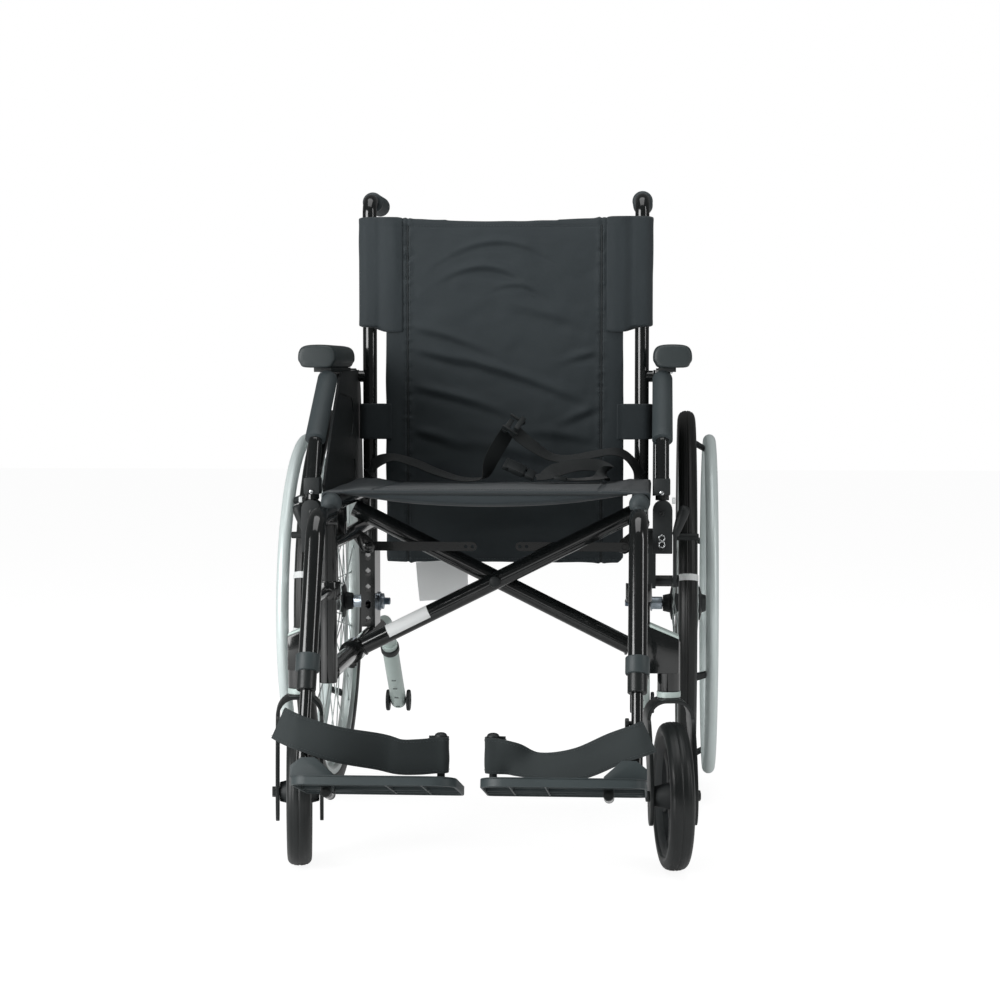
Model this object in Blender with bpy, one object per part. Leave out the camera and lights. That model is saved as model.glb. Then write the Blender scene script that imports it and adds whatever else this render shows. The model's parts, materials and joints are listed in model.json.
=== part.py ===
"""Folding self-propelled wheelchair: tube side frames, scissor cross, swing-away footrests.

Metres, +Z up, the floor at Z = 0 and the chair facing -Y. Places along the chair are
written as "fore", the distance ahead of the rear axle. Left and right are the sitter's:
the right side is at -X (side = -1) and the left side at +X (side = +1).
"""

import math

import bmesh
import bpy
from mathutils import Matrix, Vector

for item in list(bpy.data.objects):
    bpy.data.objects.remove(item, do_unlink=True)

# Fits
GAP = 0.0003
PIN_CLEARANCE = 0.0003
SLIDE_CLEARANCE = 0.0004

# Side frame tubes
FRAME_X = 0.213
RAIL_R = 0.0125
UPPER_RAIL_R = 0.011
CANE_R = 0.011
POST_F = 0.520
POST_BOTTOM_Z = 0.245
POST_TOP_Z = 0.463
LOWER_RAIL_Z = 0.257
LOWER_RAIL_REAR_F = -0.060
UPPER_RAIL_Z = 0.435
CANE_F = 0.045
CANE_BOTTOM_Z = 0.400
HANDLE_Z = 0.936
HANDLE_END_F = -0.095
HANDLE_BEND_R = 0.022
GRIP_R = 0.0155
GRIP_START_F = 0.012
GRIP_WALL = 0.005

# Folding cross
FOLD_F = 0.252
CROSS_TUBE_R = 0.0127
CROSS_LAYER = 0.013
CROSS_ANGLE = math.radians(26.5)
SEAT_RAIL_Z = 0.490
SEAT_RAIL_REAR_F = 0.075
SEAT_RAIL_FRONT_F = 0.479
RAIL_CAP_R = 0.0140
RAIL_CLAMP_LENGTH = 0.040
RAIL_CLAMP_WALL = 0.0048
BOLT_R = 0.004
BOLT_HEAD_R = 0.0085
CRADLE_FORES = (0.120, 0.400)
CRADLE_LENGTH = 0.024
STRUT_X = 0.190
STRUT_Z = 0.413
STRUT_LENGTH = 0.155
STRUT_HEIGHT = 0.0135
STRUT_THICK = 0.004
STRUT_GAP = 0.0005

# Rear wheels
REAR_WHEEL_R = 0.305
REAR_WHEEL_X = 0.283
REAR_AXLE_Z = REAR_WHEEL_R
TYRE_WIDTH = 0.028
TYRE_HEIGHT = 0.029
RIM_R = REAR_WHEEL_R - TYRE_HEIGHT
RIM_DEPTH = 0.014
RIM_WIDTH = 0.022
HUB_R = 0.0155
HUB_FLANGE_R = 0.026
HUB_INNER_X = 0.247
HUB_OUTER_X = 0.315
SPOKES = 16
SPOKE_R = 0.0012
HANDRIM_INSET = 0.018
HANDRIM_R = RIM_R - HANDRIM_INSET
HANDRIM_TUBE_R = 0.0095
HANDRIM_X = 0.3225
HANDRIM_STANDOFFS = 6
STANDOFF_R = 0.004
AXLE_R = 0.006
SPACER_R = 0.010
PLATE_INNER_X = 0.205
PLATE_OUTER_X = 0.227
PLATE_FRONT_F = 0.056
PLATE_REAR_F = -0.014
SLOT_WIDTH = 0.008
SLOT_HEIGHT = 0.0155
SLOT_PITCH = 0.0253
SLOT_WALL = 0.002

# Casters
CASTER_R = 0.100
CASTER_WIDTH = 0.033
CASTER_TYRE_HEIGHT = 0.019
CASTER_HUB_R = CASTER_R - CASTER_TYRE_HEIGHT
CASTER_X = 0.254
CASTER_F = 0.511
CASTER_TRAIL = 0.045
CASTER_TURN = math.radians(8)
STEM_R = 0.0085
HOUSING_R = 0.0155
FORK_CLEARANCE = 0.007
FORK_CROWN_HEIGHT = 0.0205
STEM_COLLAR = 0.0095
HOUSING_LENGTH = 0.068
FORK_CROWN_BOTTOM_Z = 2 * CASTER_R + FORK_CLEARANCE
FORK_CROWN_TOP_Z = FORK_CROWN_BOTTOM_Z + FORK_CROWN_HEIGHT
HOUSING_BOTTOM_Z = FORK_CROWN_TOP_Z + STEM_COLLAR
HOUSING_TOP_Z = HOUSING_BOTTOM_Z + HOUSING_LENGTH
FORK_HALF_WIDTH = 0.0325
FORK_LEG_THICK = 0.005
FORK_LEG_DROP = 0.040
CASTER_BOLT_R = 0.005

# Footrests
HANGER_R = 0.0125
HANGER_Z = 0.478
HANGER_LEAN = math.radians(23.2)
HANGER_TOP_F = 0.6273
HANGER_REAR_F = 0.5075
HANGER_BEND_R = 0.048
HANGER_END_Z = 0.287
HANGER_PIN_R = 0.0085
HANGER_PIN_BOTTOM_Z = 0.420
SADDLE_LOW_Z = 0.360
SADDLE_HIGH_Z = 0.385
COLLAR_R = 0.0155
COLLAR_TOP_Z = 0.306
COLLAR_STEP_Z = 0.283
COLLAR_LOW_Z = 0.262
FOOT_TUBE_R = 0.0075
FOOT_TUBE_TOP_Z = 0.375
FOOT_TILT = math.radians(15)
FOOTPLATE_REAR_F = 0.680
FOOTPLATE_REAR_Z = 0.120
FOOTPLATE_LENGTH = 0.155
FOOTPLATE_THICK = 0.012
FOOTPLATE_OUTER_X = 0.226
FOOTPLATE_INNER_X = {-1: 0.005, 1: 0.018}
FOOTPLATE_CORNER_R = 0.022
FLIP_X = 0.178
FLIP_DROP = 0.006
KNUCKLE_R = 0.0065
KNUCKLE_LENGTH = 0.024
KNUCKLE_REACH = 0.092
FLIP_PIN_R = 0.003
HEEL_POST_X = {-1: 0.042, 1: 0.026}
HEEL_POST_R = 0.005
HEEL_KNOB_R = 0.008
HEEL_POST_ALONG = 0.0085
HEEL_POST_SUNK = 0.004
HEEL_BOSS_STEP = 0.001
HEEL_BOSS_HEIGHT = 0.0015
HEEL_POST_RISE = 0.084
HEEL_POST_TOP_Z = FOOTPLATE_REAR_Z + HEEL_POST_RISE
STRAP_THICK = 0.0025
STRAP_HEIGHT = 0.048

# Armrests and side panels
ARM_X = 0.2445
ARM_R = 0.0095
ARM_PIVOT_F = CANE_F
ARM_TOP_Z = 0.664
ARM_PIVOT_Z = ARM_TOP_Z
ARM_PIN_R = 0.005
ARM_BOSS_R = 0.0125
ARM_FOOT_F = 0.447
ARM_FOOT_Z = 0.4938
ARM_BEND_F = 0.418
ARM_BEND_Z = 0.578
ARM_SLOPE_F = 0.290
PANEL_INNER_X = 0.2310
PANEL_THICK = 0.0035
PANEL_BOTTOM_Z = 0.498
PANEL_RECESS = 0.0012
PAD_INNER_X = 0.231
PAD_OUTER_X = 0.287
PAD_FRONT_F = 0.310
PAD_REAR_F = 0.072
PAD_RISE = 0.046
PAD_TOP_Z = ARM_TOP_Z + PAD_RISE
SLEEVE_R = 0.0145
SOCKET_OUTER_X = 0.258
SOCKET_RISE = 0.070

# Brakes
BRAKE_PIVOT_F = 0.345
BRAKE_PIVOT_Z = 0.372
BRAKE_PIN_R = 0.004
BRAKE_PLATE_X = 0.2605
BRAKE_PLATE_THICK = 0.005
BRAKE_HANDLE_F = 0.381
BRAKE_HANDLE_Z = 0.440
SHOE_R = 0.005
SHOE_CLEARANCE = 0.01578
SHOE_OVERHANG = 0.001
SHOE_ANGLE = math.radians(22.944)
SHOE_REACH = REAR_WHEEL_R + SHOE_CLEARANCE + SHOE_R
SHOE_F = SHOE_REACH * math.cos(SHOE_ANGLE)
SHOE_Z = REAR_AXLE_Z + SHOE_REACH * math.sin(SHOE_ANGLE)
SHOE_END_X = REAR_WHEEL_X + TYRE_WIDTH / 2 + SHOE_OVERHANG

# Anti-tip legs
ANTI_TIP_R = 0.011
ANTI_TIP_BEND_F = -0.1516
ANTI_TIP_SLOPE = math.radians(40.3)
ANTI_TIP_LEG_R = 0.0135
ANTI_TIP_LEG_START = 0.066
ANTI_TIP_LENGTH = 0.2485
ANTI_TIP_INSIDE = 0.070
ANTI_TIP_WHEEL_R = 0.0185
ANTI_TIP_WHEEL_THICK = 0.007
ANTI_TIP_PIN_R = 0.003

# Soft pieces
SEAT_FRONT_F = SEAT_RAIL_FRONT_F - 0.003
SEAT_REAR_F = 0.072
SEAT_TOP_Z = 0.508
SEAT_BELLY_Z = 0.484
SEAT_FLAP_THICK = 0.0027
SEAT_FLAP_Z = 0.486
BACK_TOP_Z = 0.913
BACK_BOTTOM_Z = 0.371
BACK_EDGE_X = (-0.195, 0.181)
BACK_SLEEVE_R = 0.0168
BACK_WING_Z = (0.740, 0.913)
BACK_BAND_Z = (0.565, 0.622)
BACK_REAR_F = 0.052
BELT_WIDTH = 0.025
BELT_THICK = 0.002
BUCKLE_LENGTH = 0.058
BUCKLE_WIDTH = 0.034
BUCKLE_THICK = 0.0125

# Lengths that follow from the sizes above
FOOTPLATE_FRONT_F = FOOTPLATE_REAR_F + FOOTPLATE_LENGTH * math.cos(FOOT_TILT)
ANTI_TIP_WHEEL_F = ANTI_TIP_BEND_F - ANTI_TIP_LENGTH * math.cos(ANTI_TIP_SLOPE)
ANTI_TIP_WHEEL_Z = LOWER_RAIL_Z - ANTI_TIP_LENGTH * math.sin(ANTI_TIP_SLOPE)
REAR_REACH = ANTI_TIP_WHEEL_R - ANTI_TIP_WHEEL_F
AXLE_Y = (FOOTPLATE_FRONT_F - REAR_REACH) / 2
CROSS_RISE = 2 * FRAME_X * math.tan(CROSS_ANGLE)
CROSS_UPPER_Z = LOWER_RAIL_Z + CROSS_RISE
CROSS_CENTRE_Z = LOWER_RAIL_Z + CROSS_RISE / 2
RAIL_CLAMP_R = RAIL_R + PIN_CLEARANCE + RAIL_CLAMP_WALL

# Facets round the tubes, bores, pins and wheels
TUBE_SIDES = 12
BORE_SIDES = 16
PIN_SIDES = 12
WHEEL_SIDES = 32
CASTER_SIDES = 20
BEND_STEPS = 4

SIDES = {"right": -1, "left": 1}
BLACK_PAINT = ("black_paint", (0.012, 0.012, 0.013), 0.22, 0.0)
BLACK_PLASTIC = ("black_plastic", (0.020, 0.021, 0.023), 0.55, 0.0)
SILVER_PAINT = ("silver_paint", (0.560, 0.590, 0.600), 0.32, 0.6)
GREY_PAINT = ("grey_paint", (0.520, 0.550, 0.560), 0.40, 0.3)
ZINC = ("zinc_plate", (0.480, 0.520, 0.560), 0.30, 1.0)
TYRE_RUBBER = ("tyre_rubber", (0.014, 0.014, 0.015), 0.70, 0.0)
SOFT_RUBBER = ("soft_rubber", (0.025, 0.026, 0.028), 0.62, 0.0)
NYLON = ("black_nylon", (0.022, 0.023, 0.026), 0.80, 0.0)
WEBBING = ("webbing", (0.016, 0.016, 0.018), 0.75, 0.0)

scene = bpy.context.scene
AXIS_X = Vector((1, 0, 0))
AXIS_FORE = Vector((0, -1, 0))
AXIS_Z = Vector((0, 0, 1))
materials = {}
bodies = {}


def at(x, fore, z):
    """Point in space from its side distance, its distance ahead of the axle and its height."""
    return Vector((x, AXLE_Y - fore, z))


def material_of(look):
    name, colour, roughness, metallic = look
    if name not in materials:
        material = bpy.data.materials.new(name)
        material.use_nodes = True
        shader = material.node_tree.nodes["Principled BSDF"]
        shader.inputs["Base Color"].default_value = (*colour, 1.0)
        shader.inputs["Roughness"].default_value = roughness
        shader.inputs["Metallic"].default_value = metallic
        material.diffuse_color = (*colour, 1.0)
        materials[name] = material
    return materials[name]


# Shapes: each helper returns an object whose mesh is one closed surface in world space


def shape_from(bm):
    bmesh.ops.recalc_face_normals(bm, faces=bm.faces)
    if bm.calc_volume(signed=True) < 0:
        bmesh.ops.reverse_faces(bm, faces=bm.faces)
    mesh = bpy.data.meshes.new("shape")
    bm.to_mesh(mesh)
    bm.free()
    shape = bpy.data.objects.new("shape", mesh)
    scene.collection.objects.link(shape)
    return shape


def loft(rings, closed=False):
    """Skin rings that have equal counts of points, capped at the ends or closed on itself."""
    bm = bmesh.new()
    grid = [[bm.verts.new(point) for point in ring] for ring in rings]
    count = len(rings[0])
    spans = len(rings) if closed else len(rings) - 1
    for i in range(spans):
        here = grid[i]
        there = grid[(i + 1) % len(grid)]
        for j in range(count):
            k = (j + 1) % count
            bm.faces.new((here[j], here[k], there[k], there[j]))
    if not closed:
        bm.faces.new(grid[0])
        bm.faces.new(grid[-1])
    return shape_from(bm)


def circle(centre, axis, radius, sides, start=None):
    """Points round an axis, the first one towards start."""
    axis = axis.normalized()
    start = start or (AXIS_Z if abs(axis.z) < 0.9 else AXIS_X)
    u = (start - axis * start.dot(axis)).normalized()
    v = axis.cross(u)
    angles = [2 * math.pi * i / sides for i in range(sides)]
    return [centre + radius * (u * math.cos(a) + v * math.sin(a)) for a in angles]


def bar(start, end, radius, sides=TUBE_SIDES):
    axis = end - start
    return loft([circle(start, axis, radius, sides), circle(end, axis, radius, sides)])


def spun(profile, centre, axis, sides=PIN_SIDES):
    """Solid of revolution from (radius, distance along the axis) pairs."""
    axis = axis.normalized()
    return loft([circle(centre + axis * along, axis, radius, sides) for radius, along in profile])


def ring(profile, centre, axis, sides, flat=None):
    """Turned ring from a closed profile of (radius, distance along the axis) pairs.

    With flat given, the ring has a flat facing that way and the radii are measured to flats.
    """
    axis = axis.normalized()
    start = flat or (AXIS_Z if abs(axis.z) < 0.9 else AXIS_X)
    u = (start - axis * start.dot(axis)).normalized()
    v = axis.cross(u)
    turn = 0.5 if flat else 0.0
    swell = 1 / math.cos(math.pi / sides) if flat else 1.0
    rings = []
    for i in range(sides):
        angle = 2 * math.pi * (i + turn) / sides
        out = u * math.cos(angle) + v * math.sin(angle)
        rings.append([centre + axis * along + out * radius * swell for radius, along in profile])
    return loft(rings, closed=True)


def rounded(points, radii, steps=BEND_STEPS):
    """Path through points with each inner corner turned on its radius."""
    path = [points[0]]
    for before, corner, after, radius in zip(points, points[1:], points[2:], radii):
        a = (before - corner).normalized()
        b = (after - corner).normalized()
        half = a.angle(b) / 2
        inset = radius / math.tan(half)
        centre = corner + (a + b).normalized() * (radius / math.sin(half))
        first = (corner + a * inset - centre).normalized()
        last = (corner + b * inset - centre).normalized()
        for i in range(steps + 1):
            path.append(centre + radius * first.slerp(last, i / steps))
    path.append(points[-1])
    return path


def pipe(path, radius, sides=TUBE_SIDES):
    """Round tube along a path that stays in one plane or bends gently."""
    rings = []
    start = None
    for i, point in enumerate(path):
        back = path[max(i - 1, 0)]
        ahead = path[min(i + 1, len(path) - 1)]
        tangent = (ahead - back).normalized()
        if start is None:
            start = tangent.orthogonal()
            if abs(tangent.x) < 0.9:
                start = AXIS_X.copy()
        start = (start - tangent * start.dot(tangent)).normalized()
        rings.append(circle(point, tangent, radius, sides, start))
    return loft(rings)


def prism(outline, push):
    return loft([outline, [point + push for point in outline]])


def box(side, x0, x1, f0, f1, z0, z1):
    """Block between two distances out from the middle of the chair."""
    corners = [at(side * x0, f0, z0), at(side * x1, f0, z0), at(side * x1, f0, z1), at(side * x0, f0, z1)]
    return prism(corners, AXIS_FORE * (f1 - f0))


def side_prism(side, x0, x1, outline):
    """Plate in the fore and height plane, from (fore, height) pairs."""
    return prism([at(side * x0, fore, z) for fore, z in outline], AXIS_X * side * (x1 - x0))


def front_prism(f0, f1, outline):
    """Plate in the cross plane, from (x, height) pairs."""
    return prism([at(x, f0, z) for x, z in outline], AXIS_FORE * (f1 - f0))


def stadium(centre, along, across, half_length, radius, steps=6):
    """Outline of a slot with round ends."""
    points = []
    for end in (1, -1):
        for i in range(steps + 1):
            angle = math.pi * (i / steps - 0.5)
            out = along * math.cos(angle) * end + across * math.sin(angle) * end
            points.append(centre + along * half_length * end + out * radius)
    return points


def joined(adds, cuts=()):
    """One mesh: the union of the first shapes less all of the others."""
    base = adds[0]
    groups = []
    for shapes, operation in ((adds[1:], "UNION"), (cuts, "DIFFERENCE")):
        if not shapes:
            continue
        group = bpy.data.collections.new("tools")
        scene.collection.children.link(group)
        for shape in shapes:
            group.objects.link(shape)
        boolean = base.modifiers.new(operation, "BOOLEAN")
        boolean.operation = operation
        boolean.operand_type = "COLLECTION"
        boolean.collection = group
        groups.append(group)
    evaluated = base.evaluated_get(bpy.context.evaluated_depsgraph_get())
    mesh = bpy.data.meshes.new_from_object(evaluated)
    for shape in (*adds, *cuts):
        bpy.data.objects.remove(shape, do_unlink=True)
    for group in groups:
        bpy.data.collections.remove(group)
    return mesh


def body(name, point, parent=None):
    """Empty on a joint's axis that carries the pieces which move with it."""
    empty = bpy.data.objects.new(f"{name}_axis", None)
    empty.empty_display_size = 0.03
    scene.collection.objects.link(empty)
    base = Vector()
    if parent:
        empty.parent, base = bodies[parent]
    empty.location = point - base
    bodies[name] = (empty, point)


def node(name, look, carrier, adds, cuts=(), smooth=35):
    """Finished piece, its origin at its body's joint axis."""
    mesh = joined(list(adds), list(cuts))
    mesh.name = name
    obj = bpy.data.objects.new(name, mesh)
    scene.collection.objects.link(obj)
    obj.parent, origin = bodies[carrier]
    mesh.transform(Matrix.Translation(-origin))
    mesh.materials.clear()
    mesh.materials.append(material_of(look))
    mesh.shade_smooth()
    mesh.set_sharp_from_angle(angle=math.radians(smooth))
    return obj


# Directions that several pieces share
HANGER_DOWN = Vector((0, -math.sin(HANGER_LEAN), -math.cos(HANGER_LEAN)))
TOE = Vector((0, -math.cos(FOOT_TILT), math.sin(FOOT_TILT)))
SOLE_UP = Vector((0, math.sin(FOOT_TILT), math.cos(FOOT_TILT)))
LEG_DOWN = Vector((0, math.cos(ANTI_TIP_SLOPE), -math.sin(ANTI_TIP_SLOPE)))


def hanger_point(side, z):
    """Point of the hanger's slanted centre line at a height."""
    return at(side * FRAME_X, HANGER_TOP_F + (HANGER_Z - z) * math.tan(HANGER_LEAN), z)


def sole_point(x, along, lift):
    """Point by its distance along the footplate and its height over the plate's underside."""
    return at(x, FOOTPLATE_REAR_F, FOOTPLATE_REAR_Z) + TOE * along + SOLE_UP * lift


def turned_from_caster(side, across, ahead, z):
    """Point by its place in the swivelled fork: across, ahead of the stem and high."""
    out = Vector((math.cos(CASTER_TURN), math.sin(CASTER_TURN), 0))
    front = Vector((math.sin(CASTER_TURN), -math.cos(CASTER_TURN), 0))
    return at(side * CASTER_X, CASTER_F, z) + out * across + front * ahead


def flip_point(side):
    return sole_point(side * FLIP_X, KNUCKLE_REACH, -FLIP_DROP)


def strut_pivot(side):
    return at(side * STRUT_X, FOLD_F, STRUT_Z)


def anti_tip_point(side, distance):
    return at(side * FRAME_X, ANTI_TIP_BEND_F, LOWER_RAIL_Z) + LEG_DOWN * distance


def make_bodies():
    """Empties on every joint axis, from the right frame across the cross to the left one."""
    body("frame_right", at(-FRAME_X, 0, LOWER_RAIL_Z))
    body("cross_right", at(-FRAME_X, FOLD_F, LOWER_RAIL_Z), "frame_right")
    body("cross_left", at(0, FOLD_F, CROSS_CENTRE_Z), "cross_right")
    body("frame_left", at(FRAME_X, FOLD_F, LOWER_RAIL_Z), "cross_left")
    for name, side in SIDES.items():
        frame = f"frame_{name}"
        body(f"rear_wheel_{name}", at(side * REAR_WHEEL_X, 0, REAR_AXLE_Z), frame)
        body(f"caster_fork_{name}", at(side * CASTER_X, CASTER_F, HOUSING_BOTTOM_Z), frame)
        axle = turned_from_caster(side, 0, CASTER_TRAIL, CASTER_R)
        body(f"caster_wheel_{name}", axle, f"caster_fork_{name}")
        body(f"armrest_{name}", at(side * ARM_X, ARM_PIVOT_F, ARM_PIVOT_Z), frame)
        body(f"brake_{name}", at(side * BRAKE_PLATE_X, BRAKE_PIVOT_F, BRAKE_PIVOT_Z), frame)
        body(f"hanger_{name}", at(side * FRAME_X, POST_F, HANGER_Z), frame)
        body(f"footrest_{name}", hanger_point(side, COLLAR_TOP_Z), f"hanger_{name}")
        body(f"footplate_{name}", flip_point(side), f"footrest_{name}")
        body(f"anti_tip_{name}", anti_tip_point(side, ANTI_TIP_LEG_START), frame)
        body(f"anti_tip_wheels_{name}", anti_tip_point(side, ANTI_TIP_LENGTH), f"anti_tip_{name}")
        body(f"strut_{name}", strut_pivot(side), frame)


def make_side_frame(name, side):
    x = side * FRAME_X
    handle = rounded(
        [at(x, CANE_F, CANE_BOTTOM_Z), at(x, CANE_F, HANDLE_Z), at(x, HANDLE_END_F, HANDLE_Z)],
        [HANDLE_BEND_R],
    )
    adds = [
        bar(at(x, POST_F, POST_BOTTOM_Z), at(x, POST_F, POST_TOP_Z), RAIL_R),
        bar(at(x, POST_F, LOWER_RAIL_Z), at(x, LOWER_RAIL_REAR_F, LOWER_RAIL_Z), RAIL_R),
        bar(at(x, POST_F, UPPER_RAIL_Z), at(x, CANE_F, UPPER_RAIL_Z), UPPER_RAIL_R),
        pipe(handle, CANE_R),
        bar(
            at(side * CASTER_X, CASTER_F, HOUSING_BOTTOM_Z),
            at(side * CASTER_X, CASTER_F, HOUSING_TOP_Z),
            HOUSING_R,
            BORE_SIDES,
        ),
        box(side, FRAME_X + 0.006, CASTER_X - 0.010, CASTER_F - 0.011, CASTER_F + 0.011,
            HOUSING_BOTTOM_Z + 0.026, HOUSING_TOP_Z - 0.001),
    ]
    # Cradles that carry the seat rail
    for fore in CRADLE_FORES:
        adds.append(
            box(side, FRAME_X - 0.0095, FRAME_X + 0.0095, fore - CRADLE_LENGTH / 2,
                fore + CRADLE_LENGTH / 2, UPPER_RAIL_Z, SEAT_RAIL_Z - RAIL_R / 2)
        )
    # Pin of the flip-back armrest with its flange and head
    pin = at(side * FRAME_X, ARM_PIVOT_F, ARM_PIVOT_Z)
    outwards = AXIS_X * side
    head = ARM_X + ARM_R + 0.0006 - FRAME_X
    flange = PANEL_INNER_X - 0.0007 - FRAME_X
    adds.append(
        spun(
            [(0.009, 0.004), (0.009, flange), (ARM_PIN_R, flange + 0.0001), (ARM_PIN_R, head),
             (0.008, head + 0.0001), (0.008, head + 0.003)],
            pin,
            outwards,
        )
    )
    # Lug and pin of the seat strut
    front = -side
    pivot = strut_pivot(side)
    lug_near = STRUT_GAP * 2 + STRUT_THICK
    lug_far = lug_near + 0.004
    lug = [(FRAME_X, 0.426), (FRAME_X, 0.444), (0.200, 0.436), (0.183, 0.4225), (0.1795, 0.413),
           (0.183, 0.4045), (0.190, 0.402), (0.199, 0.4065)]
    adds.append(front_prism(FOLD_F + front * lug_near, FOLD_F + front * lug_far,
                            [(side * px, pz) for px, pz in lug]))
    adds.append(
        spun(
            [(BOLT_R, STRUT_GAP), (BOLT_R, lug_far - 0.001), (0.007, lug_far - 0.0009),
             (0.007, lug_far + 0.003)],
            pivot,
            AXIS_FORE * front,
        )
    )
    cuts = [
        bar(at(x, POST_F, HANGER_PIN_BOTTOM_Z - 0.005), at(x, POST_F, POST_TOP_Z + 0.01),
            HANGER_PIN_R + SLIDE_CLEARANCE, BORE_SIDES),
        bar(at(x, LOWER_RAIL_REAR_F - 0.01, LOWER_RAIL_Z),
            at(x, LOWER_RAIL_REAR_F + ANTI_TIP_INSIDE, LOWER_RAIL_Z),
            ANTI_TIP_R + SLIDE_CLEARANCE, BORE_SIDES),
        bar(at(x, min(CRADLE_FORES) - 0.02, SEAT_RAIL_Z), at(x, max(CRADLE_FORES) + 0.02, SEAT_RAIL_Z),
            RAIL_R + GAP, BORE_SIDES),
        bar(at(side * CASTER_X, CASTER_F, HOUSING_BOTTOM_Z - 0.01),
            at(side * CASTER_X, CASTER_F, HOUSING_TOP_Z + 0.01), STEM_R + SLIDE_CLEARANCE, BORE_SIDES),
    ]
    node(f"{name}_side_frame", BLACK_PAINT, f"frame_{name}", adds, cuts)


def make_push_grip(name, side):
    x = side * FRAME_X
    rear = HANDLE_END_F - GRIP_WALL
    length = GRIP_START_F - rear
    profile = [(GRIP_R - 0.002, 0), (GRIP_R, 0.003), (GRIP_R, length * 0.5), (GRIP_R - 0.001, length * 0.7),
               (GRIP_R, length - 0.004), (GRIP_R - 0.003, length)]
    bend_end = CANE_F - HANDLE_BEND_R
    grip = spun(profile, at(x, GRIP_START_F, HANDLE_Z), -AXIS_FORE, BORE_SIDES)
    bore = bar(at(x, bend_end, HANDLE_Z), at(x, HANDLE_END_F - GAP, HANDLE_Z),
               CANE_R + SLIDE_CLEARANCE, BORE_SIDES)
    node(f"{name}_push_grip", SOFT_RUBBER, f"frame_{name}", [grip], [bore])


def make_axle(name, side):
    plate = box(side, PLATE_INNER_X, PLATE_OUTER_X, PLATE_REAR_F, PLATE_FRONT_F,
                LOWER_RAIL_Z + RAIL_R + GAP, CANE_BOTTOM_Z - GAP)
    middle = (PLATE_INNER_X + PLATE_OUTER_X) / 2
    cuts = []
    # As many slots as the plate has room for, one of them at the axle
    room = SLOT_HEIGHT / 2 + SLOT_WALL
    below = int((REAR_AXLE_Z - LOWER_RAIL_Z - RAIL_R - GAP - room) / SLOT_PITCH)
    above = int((CANE_BOTTOM_Z - GAP - REAR_AXLE_Z - room) / SLOT_PITCH)
    for i in range(-below, above + 1):
        z = REAR_AXLE_Z + i * SLOT_PITCH
        centre = at(side * middle, PLATE_REAR_F - 0.01, z)
        outline = stadium(centre, AXIS_Z, AXIS_X, (SLOT_HEIGHT - SLOT_WIDTH) / 2, SLOT_WIDTH / 2, 2)
        cuts.append(prism(outline, AXIS_FORE * (PLATE_FRONT_F - PLATE_REAR_F + 0.02)))
    cuts.append(bar(at(side * 0.19, 0, REAR_AXLE_Z), at(side * 0.24, 0, REAR_AXLE_Z),
                    AXLE_R + PIN_CLEARANCE, BORE_SIDES))
    node(f"{name}_axle_plate", BLACK_PAINT, f"frame_{name}", [plate], cuts)
    inner = PLATE_INNER_X - GAP
    outer = PLATE_OUTER_X + GAP
    profile = [
        (0.00575, inner - 0.0175), (0.00575, inner - 0.0078),
        (0.0120, inner - 0.0077), (0.0120, inner - 0.0025), (0.0150, inner - 0.0024), (0.0150, inner),
        (AXLE_R, inner + 0.0001), (AXLE_R, outer), (SPACER_R, outer + 0.0001),
        (SPACER_R, HUB_INNER_X - GAP), (AXLE_R, HUB_INNER_X - GAP + 0.0001), (AXLE_R, HUB_OUTER_X + 0.003),
    ]
    axle = spun(profile, at(0, 0, REAR_AXLE_Z), AXIS_X * side)
    node(f"{name}_axle", ZINC, f"frame_{name}", [axle])


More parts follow.
